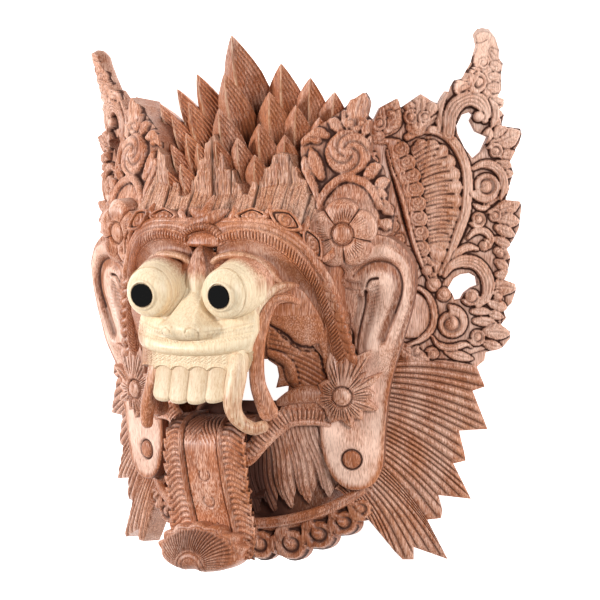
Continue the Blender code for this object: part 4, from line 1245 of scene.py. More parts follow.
# Crown of spikes: tip of each on the left half, length and half width
SPIKES = (
    (0, 196, 118, 78, 19), (36, 175, 108, 66, 16), (57, 164.5, 102, 58, 14), (75, 154, 98, 52, 13),
    (90, 139, 90, 46, 11), (0, 168, 128, 62, 15.5), (34.5, 154, 122, 54, 14), (53, 144.5, 116, 50, 12.5),
    (68, 135.5, 108, 44, 11), (0, 142, 136, 52, 14), (31, 131, 131, 46, 12.5), (48.5, 123, 124, 42, 11),
    (65, 117, 114, 38, 10), (17, 121, 138, 40, 11), (31.5, 108.5, 138, 36, 10.5), (47, 103, 131, 34, 9.5),
    (0, 119, 140, 34, 10), (58, 100, 124, 32, 9),
)
LEFT_RISE = 6.0  # how much higher the spikes on the mask's left stand than those on its right
# A spike's half width, as shares of its widest, at shares of its length
SPIKE_SHARES = (0, 0.42, 0.6, 0.74, 0.88, 0.96, 1)
SPIKE_WIDTHS = (0.9, 1, 0.86, 0.63, 0.33, 0.13, 0.005)
SPIKE_ROWS = 46


def add_spike(carving, x, y, z, length, half_width):
    """A four-sided leaf, smooth on the left as seen from in front, and ruled with cuts on the right."""
    along = np.array((0.0055 * x, 1, 0.62))
    along /= np.linalg.norm(along)
    side = np.cross(along, (0.006 * x, 0, 1))
    side /= np.linalg.norm(side)
    face = np.cross(side, along)
    foot = np.array((x, y, z)) - along * length
    share = np.linspace(0, 1, SPIKE_ROWS)[:, None]
    grow = np.interp(share, SPIKE_SHARES, SPIKE_WIDTHS)
    # Round the section from the front ridge over the right edge, the back and the left edge
    turn = np.concatenate([
        np.linspace(0, 1, 44, endpoint=False), np.linspace(1, 3, 8, endpoint=False),
        np.linspace(3, 4, 20, endpoint=False),
    ])
    corner = np.array(((0, 0.8), (1, 0), (0, -0.8), (-1, 0), (0, 0.8)))
    index = np.floor(turn).astype(int)
    part = (turn - index)[:, None]
    ring = (corner[index] * (1 - part) + corner[index + 1] * part) * (1 + 0.06 * np.sin(part * math.pi))
    section = ring[None, :, :1] * side + ring[None, :, 1:] * face
    grid = foot + share[..., None] * (along * length) + half_width * grow[..., None] * section
    off = np.abs(ring[:, 0])[None]
    from_edge = (1 - off) * half_width * 1.28 * grow
    front = (ring[:, 1] > 0)[None]
    left = (turn > 3)[None]
    fade = grown(share, 0.02, 0.1) * fading(share, 0.97, 0.12)
    height = -0.95 * groove(from_edge / 2.6 + 0.5, 0.7) * unit(off * 9 - 0.6) * (turn < 1)[None] * fade
    height -= 0.25 * groove(from_edge / 4.1, 0.4) * left * fade
    height += 0.5 * unit(1 - off * 11) * front * fade
    # A painted highlight lies along the front ridge, and painted shade darkens each spike's lower half and
    # its left face
    painted_ridge_highlight = unit(1 - off * 9) * front * unit(share * 3 - 0.8)
    carving.sheet(grid, height, closed=True, dark=1.1 * unit(0.52 - share) + 0.10 * left, pale=0.34 * painted_ridge_highlight)


def make_crown():
    """Rows of spikes, higher on the mask's left."""
    carving = Carving()
    for x, y, z, length, half_width in SPIKES:
        add_spike(carving, x, y, z, length, half_width)
        if x:
            add_spike(carving, -x, y - LEFT_RISE * min(x / 30, 1), z, length, half_width)
    carving.make("crown_spikes", 40)


# Flames in front of the crown: the top edge of the wall they make, from the right to the left
FLAME_TOP = (
    (-86, 60), (-82, 74), (-77, 73), (-75, 84), (-70, 83), (-68, 93), (-65, 92), (-62, 106), (-59, 114.5),
    (-54.5, 110), (-51, 109), (-49.5, 101), (-46, 96), (-43.5, 90), (-37, 88), (-34.5, 79.5), (-29.5, 78.5),
    (-25, 80.5), (-24, 90), (-19.5, 94.5), (-18.2, 104), (-12, 107), (-10, 117), (-7, 118), (-3.5, 124),
    (0.5, 118), (2.5, 111), (4.5, 110), (6.3, 99), (12.5, 97.5), (14, 89), (18, 87.5), (20, 81), (24.5, 80),
    (27, 89.5), (32, 90.5), (34, 99), (40, 100), (42.5, 108), (48, 110.5), (53, 108.5), (56, 100),
    (58.5, 98), (60, 92.5), (66, 90), (68, 81), (72.5, 79), (74.5, 70), (80, 66), (86, 58),
)


def flame_front(x, y):
    """How far forward the wall of flames stands, in front of the head."""
    return np.maximum(137.5 - 0.0036 * x ** 2 + 0.05 * (y - 90), head_front(x, y) + 2.5)


def make_flames():
    """A rough wall of upright flames with deep grain."""
    outline = FLAME_TOP + ((86, 36), (60, 46), (30, 52), (-30, 52), (-60, 46), (-86, 36))
    relief = Relief(outline, ground=0.0, spacing=0.62)
    x, y = relief.places.T
    panel = np.floor(x / 6.3 + 0.4 * np.sin(x / 11.0))
    wander = 0.22 * np.sin(y / 7.0 + 1.7 * panel) + 0.12 * np.sin(y / 3.1 + panel)
    phase = x / 2.35 + wander
    relief.heights = 1.1 * np.sin(panel * 2.1) + 0.5 * np.sin(panel * 5.3 + y / 19.0)
    relief.heights -= 0.62 * (0.5 - 0.5 * np.cos(math.tau * phase)) ** 1.6
    relief.heights -= 0.40 * unit(np.sin(y * 0.42 + 3.1 * np.floor(phase)))
    relief.round_edge(1.6)
    relief.carve(Bend(flame_front), -22, pale=0.07).make("flames", bloom=0.24)


# Temple ornaments
TEMPLE_OUTLINE = (
    (-20, 8), (-27, 28), (-36, 43), (-38, 54), (-39, 65), (-34, 71), (-27, 77), (-19, 83), (-11, 89),
    (-5, 97), (-2, 98), (5.6, 104), (8.5, 100), (7.8, 94), (6.8, 88.7), (11.4, 84.6), (9.8, 77),
    (12.7, 68.7), (11, 61), (14.4, 55.7), (22, 51), (24, 44), (28.5, 41), (27.7, 33.5), (27.5, 26),
    (33, 16), (32, 4), (20, -8), (-10, -8),
)
TEMPLE_HEART = ((-20, 6), (-18, 22), (-10, 34), (0, 38), (12, 34), (20, 24), (24, 6))
TEMPLE_ARCH = ((-22.5, 16), (-19, 27), (-11, 37), (-2, 40.5), (9, 38), (17, 31), (22, 21))
# Leaves have a foot, a middle, a tip, a width, a height, the distance between veins or 0 for none, a depth
# and the share of the length where they are widest. Curls have a middle, a radius, a height, a hand and a
# start.
TEMPLE_MOTIFS = (
    ((-26, 66), (-33, 68), (-38, 62), 8, 0.8), ((-29, 34), (-32, 44), (-35, 54), 12, 1.6, 5),
    ((-24, 24), (-28, 32), (-32, 42), 9, 2.2), ((-22, 40), (-27, 50), (-31, 60), 10, 2.0, 4),
    ((-20, 70), (-27, 72), (-33, 69), 8, 1.4), ((-10, 74), (-15, 79), (-20, 82), 9, 1.8),
    ((-4, 76), (-7, 84), (-10, 89), 9, 2.4), ((0, 78), (1, 90), (4.5, 103), 17, 2.6, 0, 0.9, 0.55),
    (-3.5, 79.5, 4.8, 3.0, 1, 200), (4.5, 80, 4.4, 3.0, -1, 340), ((6, 72), (9, 78), (10, 84), 7, 2.6),
    ((8, 64), (11, 68), (12.5, 73), 6, 2.4), ((10, 40), (15, 48), (21, 51), 10, 2.4, 4.5),
    ((18, 34), (23, 39), (27.5, 41), 9, 2.2), (21, 30, 6.0, 3.2, -1, 120), (12.5, 44, 4.8, 3.4, 1, 120),
    ((24, 24), (28, 20), (32, 16), 10, 1.8), ((24, 10), (28, 9), (32, 8), 9, 1.4),
)
WHIRL_MIDDLE, WHIRL_RADIUS, WHIRL_BOSS = (-3.5, 58.5), 16.5, 3.2


def make_temples():
    """A plate over each temple: a whirl, leaves and curls above a hatched half round."""
    relief = Relief(TEMPLE_OUTLINE, ground=-2.5)
    relief.flat(TEMPLE_HEART, 0.4)
    x, y = relief.places.T
    inside = inside_loop(relief.places, TEMPLE_HEART)
    wave = np.cos(math.tau * x[inside] / 2.4 + 0.5 * np.sin(y[inside] / 5))
    relief.heights[inside] -= 0.55 * (0.5 - 0.5 * wave)
    for motif in TEMPLE_MOTIFS:
        if isinstance(motif[0], tuple):
            relief.leaf(motif[:3], *motif[3:])
        else:
            relief.hook(*motif)
    relief.band(TEMPLE_ARCH, 6.2, 3.0, grooves=1, ends=(0.8, 0.8))
    # Whirl of four arms with a boss
    off = relief.places - WHIRL_MIDDLE
    reach = np.hypot(off[:, 0], off[:, 1])
    chosen = np.flatnonzero(reach < WHIRL_RADIUS + 3)
    reach = reach[chosen]
    phase = 4 * np.arctan2(off[chosen, 1], off[chosen, 0]) / math.tau + reach / WHIRL_RADIUS * 2.3
    top = 4.2 - 1.8 * groove(phase, 0.9) ** 1.2 * unit(reach / 4) - 0.05 * reach
    top -= 0.8 * groove(phase * 2 + 0.1, 0.5) * unit(reach / 9 - 0.3)
    top = np.where(reach < WHIRL_BOSS, 3.6 + 1.2 * dome(reach / WHIRL_BOSS), top)
    relief.lay(chosen, reach - WHIRL_RADIUS, top)
    relief.soften(1)
    relief.heights += 0.12 * ripple(relief.places, 5, 3)
    relief.round_edge(1.4)
    relief.carve(TEMPLE_PLANE, -24).make_pair("temple", bloom=0.22)


# Ears
EAR_OUTLINE = (
    (2, 24), (-6, 36), (4, 54), (20, 52), (32, 50), (38.8, 46.9), (47.3, 39.4), (52.7, 29), (53.3, 17.2),
    (51.6, 5.1), (48.2, -8.1), (43.7, -21.2), (38.6, -35.5), (34.1, -48.7), (30.8, -59.8), (28.5, -70.9),
    (26.7, -83.1), (25.0, -96.0), (23.6, -109.4), (22.2, -119), (17.9, -127.4), (12.1, -132.8), (3.0, -135),
    (-5.8, -133.0), (-14.4, -125.3), (-19.8, -112.7), (-22, -99.1), (-22, -85.6), (-21, -72), (-13, -56),
    (-6, -40), (-6, -22), (-8, -4), (-10, 14),
)


# Curves over the ear: height, share of wax and course
EAR_LINES = (
    (5.2, 0.05, ((2, 47), (20, 49.5), (34, 48), (47, 39), (52.4, 27), (52.6, 16), (50.8, 4), (47.4, -8),
                 (43, -21), (37.6, -35), (32, -51))),
    (7.6, 0.50, ((4, 35), (20.5, 37), (30, 38.5), (39.5, 35.5), (45.5, 27), (47.4, 16.3), (45.6, 5),
                 (41, -8), (36, -19), (31, -31), (27, -45))),
    (3.6, 0.00, ((2, 20), (9.8, 20), (15.7, 26), (24.7, 30), (34, 28.5), (40, 23.2), (42.2, 14.2),
                 (40.4, 5.4), (36.2, -4.4), (31.6, -14.2), (27.6, -24))),
    (5.6, 0.75, ((17.4, 12), (20.5, 18), (25.8, 20.5), (31.2, 18), (33.4, 11), (31.8, 2.5), (28, -6.2),
                 (23, -17), (19, -30))),
    (1.4, 0.05, ((17, 9.5), (17.4, 2), (16, -4.7), (13, -15.7), (10, -26.7), (9.4, -40))),
    (-1.8, 0.02, ((12, 4), (11, -2), (9, -8), (6, -17), (3, -28), (2.5, -42))),
    (0.4, 0.05, ((-7, 14), (1, 10), (7, 4), (4, -10), (-1, -28), (-2, -42))),
    (1.6, 0.05, ((-10, 34), (-4, 26), (4, 18), (13, 14))),
)
LOBE_TOP, LOBE_START = -30, -56
PEG, PEG_RADIUS = (0.1, -112.2), 6.3


def between_lines(points, lines, column):
    """Values that pass through those of some curves and blend smoothly from one to the next."""
    total = np.zeros(len(points))
    weight = np.zeros(len(points))
    for line in lines:
        share = 1 / (near_path(points, curve_through(line[2]))[0] + 0.3) ** 3
        total += share * line[column]
        weight += share
    return total / weight


def ear_bloom(points):
    """Wax lies on the ear's crests and streaks the long lobe, and the peg in the lobe has none."""
    off = np.abs(points * (1, 0, 0)) + points * (0, 1, 1) - EAR_PLANE.origin
    flat = np.stack([off @ EAR_PLANE.across, off @ EAR_PLANE.up], axis=1)
    bent = between_lines(flat, EAR_LINES, 1)
    edge = depth_inside(flat, curve_through(EAR_OUTLINE, 4, closed=True))
    lobe = 0.86 * grown(edge, 2.0, 2.5)
    share = unit((flat[:, 1] - LOBE_START) / (LOBE_TOP - LOBE_START))
    away = np.hypot(flat[:, 0] - PEG[0], flat[:, 1] - PEG[1])
    return ((bent + 0.20) * share + lobe * (1 - share)) * grown(away, 6.2, 1.5)


def make_ears():
    """Ears with long lobes and a peg in each lobe."""
    relief = Relief(curve_through(EAR_OUTLINE, 4, closed=True), ground=-4.0, spacing=0.62)
    x, y = relief.places.T
    share = unit((y - LOBE_START) / (LOBE_TOP - LOBE_START))
    share = share * share * (3 - 2 * share)
    relief.heights = between_lines(relief.places, EAR_LINES, 0) * share + 0.8 * (1 - share)
    hollow = (x > 17) * (x < 29 - 0.2 * np.abs(y - 4)) * (y > -14) * (y < 15)
    relief.heights -= 0.7 * groove((y - 0.35 * x) / 2.5, 0.5) * hollow
    relief.gouge(((-6.8, 18.2), (-2.6, 14.8), (2.9, 12.4), (8.3, 11.3), (15, 10.9)), 1.6, 0.9)
    relief.gouge(((26, 19.5), (20.5, 18.5), (17.5, 14), (16.2, 8), (15.8, 1), (14, -6), (11, -16),
                  (8.2, -27), (7.4, -38), (7, -48)), 3.0, 3.2)
    relief.gouge(((8, 21), (15, 27.5), (24.7, 31.5), (35, 30), (41.5, 24), (43.6, 14), (41.6, 4),
                  (37.4, -6)), 2.0, 1.0)
    # The gap beside the brow's rounded teeth
    relief.gouge(((-10, 32), (-7, 25), (-5, 16), (-4, 8), (-2.5, -2), (2, -8), (2.5, -16), (4.5, -22),
                  (4.5, -30), (6.5, -37), (6.5, -44)), 5.0, 4.0)
    # Peg
    reach = np.hypot(x - PEG[0], y - PEG[1])
    relief.heights -= 2.2 * peak(reach, 7.2, 1.5)
    peg = reach < PEG_RADIUS
    relief.heights[peg] = 1.0 + 0.9 * dome(reach[peg] / PEG_RADIUS)
    relief.soften(1)
    relief.heights += 0.15 * ripple(relief.places, 7, 2)
    relief.round_edge(1.6)
    # The ear's walls are painted darker, as shade
    relief.carve(EAR_PLANE, -12, side_dark=0.5).make_pair("ear", bloom=ear_bloom)


def polar(rings, spokes, reach, centre, plane, height):
    """A grid over a disc. Reach and height are functions of the angle and the share of the way out."""
    share = np.linspace(0.002, 1, rings)[:, None]
    angle = (np.arange(spokes) * math.tau / spokes)[None]
    out = share * reach(angle)
    flat = np.stack([centre[0] + out * np.cos(angle), centre[1] + out * np.sin(angle)], axis=-1)
    up = height(angle, share, out)
    return plane.place(flat.reshape(-1, 2), up.ravel()).reshape(rings, spokes, 3), up


def add_disc(carving, grid, height, depth, plane):
    """A round carved disc with walls down to its foot."""
    rim = grid[-1:]
    foot = rim - plane.normal * depth
    grid = np.concatenate([grid, rim * 0.9 + foot * 0.1, rim * 0.5 + foot * 0.5, foot])[::-1]
    height = np.concatenate([height] + [height[-1:]] * 3)[::-1]
    # Painted shade in the disc's hollows, and more on its walls
    crevice = unit(blur_grid(height, 8, True) - height) * 0.8
    crevice[:3] += 0.55
    carving.sheet(grid, closed=True, dark=unit(crevice))


def make_flowers():
    """A round flower over each ear and a pointed one below it."""
    carving = Carving()

    def petals(angle):
        lobe = np.abs(np.cos(2.5 * (angle - math.radians(18)))) ** 0.55
        return 25.0 * (0.78 + 0.22 * lobe)

    def petal_height(angle, share, out):
        lobe = np.abs(np.cos(2.5 * (angle - math.radians(18))))
        top = 13.8 - 3.8 * share ** 6 - 2.6 * unit(1 - lobe / 0.17) * unit(share * 2 - 0.4)
        top = top + 1.3 * np.sin(math.pi * unit(share * 1.1 - 0.2)) * lobe
        streak = unit(np.sin(angle * 55 + 0.9 * np.sin(9 * angle)))
        streak = streak * (0.6 + 0.4 * np.sin(3 * angle + 7 * share))
        window = unit(share * 6 - 2.2) * unit((0.84 - share) * 5)
        top = top - 1.1 * streak * window
        top = top - 2.4 * peak(out, 8.2, 1.5)
        return np.where(out < 7.0, 12.4 + 2.6 * dome(out / 7.0), top)

    grid, up = polar(72, 300, petals, (3.4, 53), EAR_PLANE, petal_height)
    add_disc(carving, grid, up, 20, EAR_PLANE)
    points = np.array((
        (-20.6, -55.8), (-10.6, -32.1), (0.5, -27.3), (19.7, -31.6), (14.6, -47.4), (26.1, -48.5),
        (20.2, -64.3), (21.9, -75.3), (9.9, -82.2), (2.4, -87.8), (-12.6, -83.7), (-23.4, -66.6),
    )) - (-3.5, -64.5)
    turns = np.arctan2(points[:, 1], points[:, 0]) % math.tau
    order = np.argsort(turns)
    turns, lengths = turns[order], np.hypot(*points.T)[order]
    between = (turns + np.append(turns[1:], turns[0] + math.tau)) / 2 % math.tau
    notch = np.minimum(lengths, np.roll(lengths, -1)) * 0.80
    all_turns = np.concatenate([turns, between])
    all_lengths = np.concatenate([lengths, notch])
    order = np.argsort(all_turns)

    def pointed(angle):
        return np.interp(angle, all_turns[order], all_lengths[order], period=math.tau)

    def pointed_height(angle, share, out):
        tip = (pointed(angle) - notch.min()) / (lengths.max() - notch.min())
        top = 11.4 - 2.4 * share ** 3 - 3.0 * unit(share - 0.25) * (1 - tip)
        streak = unit(np.sin(angle * 40 + 1.2 * np.sin(7 * angle)))
        window = unit(share * 5 - 1.5) * unit((0.93 - share) * 6)
        top = top - 1.5 * streak * window
        top = top - 2.2 * peak(out, 7.3, 1.4)
        return np.where(out < 6.2, 10.8 + 2.0 * dome(out / 6.2), top)

    grid, up = polar(72, 300, pointed, (-3.5, -64.5), EAR_PLANE, pointed_height)
    add_disc(carving, grid, up, 20, EAR_PLANE)
    carving.make_pair("flowers", 60, bloom=0.32)


# Eyes
EYE_ROOT = np.array((37.5, 17.0, 120.0))
EYE_RING = np.array((31.7, 10.3, 179.4))
EYE_RADIUS = 18.4
PUPIL_CENTRE = np.array((32.3, 8.0, 188.0))
PUPIL_SLOPE = 0.173
LID = ((4, 26, 157.5), (8, 30.4, 159), (17, 35.4, 160.5), (30.5, 37, 160.5), (40, 35, 158),
       (46.6, 31.2, 155), (51.2, 26, 152), (54.8, 20.5, 149), (58.3, 16.5, 146))
LID_END = ((62, 8, 143), (65, -4, 137), (68, -20, 130))
BROW_INNER = ((13, 44.6, 158), (22, 46, 157.5), (37, 46.8, 156), (49.5, 43.5, 153), (59.5, 37, 148),
              (66.8, 28.5, 141), (71, 20, 135), (75.5, 10.5, 129), (79.5, -6, 125), (81.5, -24.2, 119),
              (82.5, -40.2, 113), (84, -54, 106))
BROW_OUTER = ((13.5, 51, 158), (24, 55, 158), (38, 56.2, 157), (53.6, 53, 153), (65.3, 45.8, 147),
              (73.8, 36, 140), (80.6, 23.5, 133), (84.5, 12, 128), (88.5, -2, 123), (91.2, -15, 119),
              (93.6, -31.3, 113), (94, -48, 106))
HEADBAND = ((0, 62, 148), (13, 60.5, 151), (24, 60.5, 152), (38, 61, 151), (48, 60, 149), (58, 56, 146),
            (68, 48.5, 141), (76, 39, 136), (83.5, 25, 130), (88.5, 12, 124), (92.5, -6, 118),
            (96, -26, 110))


def make_eyes():
    """Eyes that bulge forward on barrels, with a bezel round each pupil."""
    carving = Carving()
    axis = (EYE_RING - EYE_ROOT) / np.linalg.norm(EYE_RING - EYE_ROOT)
    side = np.cross((0, 1, 0), axis)
    side /= np.linalg.norm(side)
    up = np.cross(axis, side)
    length = np.linalg.norm(EYE_RING - EYE_ROOT)
    barrel = np.linspace(0, length, 170)
    radius = np.interp(length - barrel, (0, 3, 8, 20, 35, 60), (18.3, 18.7, 19.0, 20.0, 21.4, 22.6))
    radius -= 1.0 * peak(length - barrel, 0.6, 0.7)
    radius -= 0.35 * peak(length - barrel, 7.5, 0.8)
    turn = np.arange(120) * math.tau / 120
    taller = 1 + 0.20 * grown(length - barrel, 3, 16)[:, None] * unit(np.sin(turn))[None] ** 1.5
    tube = EYE_ROOT + barrel[:, None, None] * axis + (radius[:, None] * taller)[..., None] * (
        np.cos(turn)[None, :, None] * side + np.sin(turn)[None, :, None] * up
    )
    # The ball's front, which looks a little down, and the bezel round the pupil
    tilt = np.linspace(0, math.pi / 2, 60)[1:, None]
    out = np.maximum(np.cos(tilt), 0.001)
    across = EYE_RING[0] + (EYE_RADIUS - 0.5) * out * np.cos(turn)[None]
    rise = EYE_RING[1] + (EYE_RADIUS - 0.5) * out * np.sin(turn)[None]
    forward = EYE_RING[2] + 0.4 + 9.2 * np.sin(tilt) + PUPIL_SLOPE * (rise - EYE_RING[1]) * (1 - out ** 2)
    off = np.hypot(across - PUPIL_CENTRE[0], rise - PUPIL_CENTRE[1])
    face = PUPIL_CENTRE[2] + 1.2 + 0.03 * (across - PUPIL_CENTRE[0])
    face = face + PUPIL_SLOPE * (rise - PUPIL_CENTRE[1])
    bezel = face - 0.5 - 1.1 * grown(off, 9.6, 1.4) ** 2
    forward = np.where(off < 11, np.maximum(forward, bezel), forward)
    forward = np.where(off < 8.9, np.minimum(forward, face - 1.6), forward)
    grid = np.concatenate([tube, np.stack([across, rise, forward], axis=2)])
    # Painted shade rings the pupil and its bezel, lies in the cuts round the barrel and darkens the barrel
    # towards its root
    from_pupil = np.concatenate([np.full(tube.shape[:2], 99.0), off])
    dark = 0.62 * peak(from_pupil, 9.0, 0.7) + 0.16 * peak(from_pupil, 10.9, 0.6)
    place = np.concatenate([barrel - length, np.full(len(tilt), 5.0)])[:, None]
    dark = dark + 0.7 * peak(place, -0.6, 0.8) + 0.2 * peak(place, -7.5, 0.8)
    dark = dark + 0.5 * grown(-place, 26, 22)
    # The barrel is painted less pale on top near its root, as shade under the lid, and less pale towards
    # its root, where sapwood gives way to heartwood
    above = unit(np.sin(turn + 0.25))[None]
    pale = 1 - 1.2 * grown(-place, 9, 9) * above - 0.9 * grown(-place, 20, 14)
    carving.sheet(grid, closed=True, pale=unit(pale), dark=unit(dark))
    carving.make_pair("eye", 60, bloom=0.03)


def make_brows():
    """A hollow, a hatched arch and a smooth band over each eye, the lid and the brow's teeth."""
    carving = Carving()

    def hollowed(place, share):
        return -2.6 * np.sin(share * math.pi)

    # The hollow is painted darker, as shade
    ribbon(carving, BROW_INNER, LID + LID_END, 22, 160, hollowed, dark=0.24, thick=8)

    def hatched(place, share):
        arch = np.sin(share * math.pi) ** 0.6
        hatching = groove(place / 2.55 + 0.5 * share, 0.6) * unit(np.sin(share * math.pi) * 2.4 - 0.8)
        return 2.8 * arch - 1.5 * hatching - 1.3 * peak(share, 0.13, 0.06)

    ribbon(carving, BROW_OUTER, BROW_INNER, 30, 560, hatched, thick=9)

    def smooth(place, share):
        line = peak(share, 0.84, 0.08) + peak(share, 0.10, 0.08)
        return 2.6 * np.sin(share * math.pi) ** 0.7 - 0.8 * line

    # The smooth band carries a little painted shade
    ribbon(carving, HEADBAND, BROW_OUTER, 20, 170, smooth, thick=9, dark=0.06)

    def lid_cut(angle, share):
        return -0.55 * groove(share * 46, 0.55) * unit(np.sin(angle - 0.4))

    carving.tube(LID, (1.6, 2.4, 2.7, 2.7, 2.6, 2.4, 1.9), around=24, lift=lid_cut, each=12, depth=1.3,
                 pale=lambda s: np.interp(s, (0, 0.2, 0.5, 1), (0.1, 0.2, 0.2, 0.1)))
    # Rounded teeth along the brow's lower part, with a dark gap beyond each
    teeth = even(BROW_OUTER, 64)[0][38:62]
    for spot in teeth[::3]:
        path = (spot + (-2, 3.4, 0.5), spot + (2.4, 1.0, -0.2), spot + (3.2, -3.4, -2))
        carving.tube(path, (3.4, 4.0, 1.8), around=14, depth=0.7, each=4)
    carving.make_pair("brow", bloom=0.05)


def lens(carving, centre, azimuth, tilt, half_length, half_width, turn, rise=2.4):
    """A leaf-shaped eye with a raised rim and a curled heart."""
    plane = Plane(centre, azimuth, tilt)
    turn = math.radians(turn)

    def reach(angle):
        a = angle - turn
        power = 1.35
        both = np.abs(np.cos(a) / half_length) ** power + np.abs(np.sin(a) / half_width) ** power
        return both ** (-1 / power)

    def height(angle, share, out):
        rim = rise - 0.7 * ((share - 0.88) / 0.12) ** 2
        winding = groove(angle / math.tau + out / 4.0, 0.45) * unit(share * 5)
        heart = rise - 0.6 - 1.8 * share ** 2 - 0.9 * winding
        return np.where(share > 0.76, rim, np.where(share > 0.64, rise - 3.2, heart))

    grid, up = polar(30, 96, reach, (0, 0), plane, height)
    add_disc(carving, grid, up, 9, plane)


# Leaf-shaped eyes: middle, azimuth, tilt, half length, half width and turn
LENSES = (
    ((37.5, 64.5, 151), 8, 8, 13.5, 6.0, 0), ((62, 61.5, 146), 24, 10, 14.0, 7.2, -25),
    ((78, 45, 135.5), 38, 0, 13.5, 6.4, -62),
)
BUDS = (
    ((47, 64, 149), (50, 68.5, 148.5), (49, 73, 146)), ((20, 63, 152), (22.5, 67, 151.5), (21, 71.5, 149)),
    ((72, 54, 140), (75, 59, 138.5), (74.5, 64, 136)), ((85, 34, 131), (89, 37, 129), (89.5, 42, 127)),
)


def make_headband():
    """The band over the brow, with leaf-shaped eyes and buds."""
    side = Carving()
    side.tube(HEADBAND[:11], (3.0, 3.2, 3.4, 3.2, 3.0), around=16, each=10,
              lift=lambda angle, share: -0.7 * groove((angle - 0.6) / 0.9, 0.4) * (angle < 2))
    for eye in LENSES:
        lens(side, *eye)
    for path in BUDS:
        side.tube(path, (2.6, 2.8, 1.2), around=14, depth=0.7)
    side.make_pair("headband", bloom=0.05)


# Bone between the brows: height, half width and reach forward
BONE_ROWS = ((8, 9.6, 169.5), (18, 9.4, 169.4), (27, 8.4, 168), (34, 6.6, 167), (40, 4.0, 166),
             (43.5, 1.6, 162))
ARCH = (
    (-21.5, 44.5, 156.5), (-17.6, 50.2, 158), (-10, 55, 159), (-1, 57, 159.4), (7, 55.6, 159),
    (14.5, 50.6, 158), (19, 45.5, 156.5),
)
# Leaves over the arch: path, radii, points round each and the cuts across it
ARCH_LEAVES = (
    (((-14, 57, 154), (-4, 60, 156.5), (5, 63, 156.5), (13, 66.5, 154), (17, 69, 150)),
     (2.4, 4.6, 5.0, 3.6, 1.0), 22, cuts(0.6, 9, 0.45, slant=0.5)),
    (((2, 60, 155.5), (-4, 65, 155), (-11, 68, 153), (-17, 70, 149)),
     (4.4, 4.6, 3.4, 1.0), 20, cuts(0.6, 7, 0.45, slant=-0.5)),
    (((0, 58, 156), (0.5, 66, 155.5), (2, 73, 152), (3.5, 79, 148)),
     (3.6, 4.4, 3.0, 0.8), 20, None),
)


def make_forehead():
    """A half moon under a hatched arch, three leaves over it, and the bone between the brows."""
    middle = Carving()
    plane = Plane((0.3, 44.5, 155.6), 0, 5)

    def moon(angle):
        return 1 / np.hypot(np.cos(angle) / 16.4, np.sin(angle) / np.where(np.sin(angle) > 0, 9.4, 2.6))

    def moon_height(angle, share, out):
        return 5.0 - 2.6 * share ** 2.4 - 0.7 * peak(share, 0.86, 0.07) * (np.sin(angle) > -0.1)

    grid, up = polar(30, 120, moon, (0, 0), plane, moon_height)
    add_disc(middle, grid, up, 10, plane)
    middle.tube(ARCH, (1.8, 2.8, 3.1, 2.8, 1.8), around=20, each=20, lift=cuts(0.9, 23, 0.6, least=-0.2))
    for path, radii, around, lift in ARCH_LEAVES:
        middle.tube(path, radii, around=around, depth=0.6, each=8, lift=lift)
    bone = []
    for height, half, forward in BONE_ROWS:
        bone.append((
            (-1.8 * half, height - 1, forward - 12), (-half, height, forward - 2.4),
            (0, height + 0.4, forward + 0.8), (half, height, forward - 2.4),
            (1.8 * half, height - 1, forward - 12),
        ))
    skin = finer(bone, 30, 33)
    off = np.abs(np.linspace(-2, 2, 33))[None]
    edge = peak(off, 1.0, 0.16)
    passing = unit(1.6 - np.linspace(0, 5, 30) / 1.1)[:, None]
    # Painted shade darkens the bone's edges and its sides
    middle.sheet(skin, -0.5 * edge, thick=6, pale=passing, dark=0.12 + 0.3 * edge + 0.25 * (off > 1.1))
    middle.make("forehead_ornament", bloom=0.05)


# Muzzle, nose, gum, teeth and tusks: height, half width, reach forward and rise of the ends
MUZZLE_ROWS = (
    (-31, 38, 158, 3), (-33.5, 41, 167, 3), (-35.2, 42.5, 173, 3), (-35, 44, 178, 3),
    (-33.2, 46, 181.5, 3.5), (-30.5, 47.5, 183, 4), (-27.6, 49, 182.6, 5), (-25.2, 50, 181.4, 6),
    (-24, 50.5, 180.4, 7), (-22.5, 50.5, 180, 7.5), (-19, 50.2, 179.4, 8.5), (-14, 49.4, 177.4, 10),
    (-8, 48.6, 175, 11), (1, 47, 172, 12), (10, 45, 169, 12), (17, 41, 166, 10), (24, 33, 163, 7),
    (31, 24, 160, 4), (38, 15, 158, 2),
)
NOSE_ROWS = ((40, 3, 161), (32, 5, 163.5), (22, 7, 166), (10, 9, 171), (2, 10.5, 178), (-8, 14, 187),
             (-14, 17, 191.5), (-19, 16.5, 190.5), (-23, 14, 186), (-26, 11, 176), (-30, 9, 160))


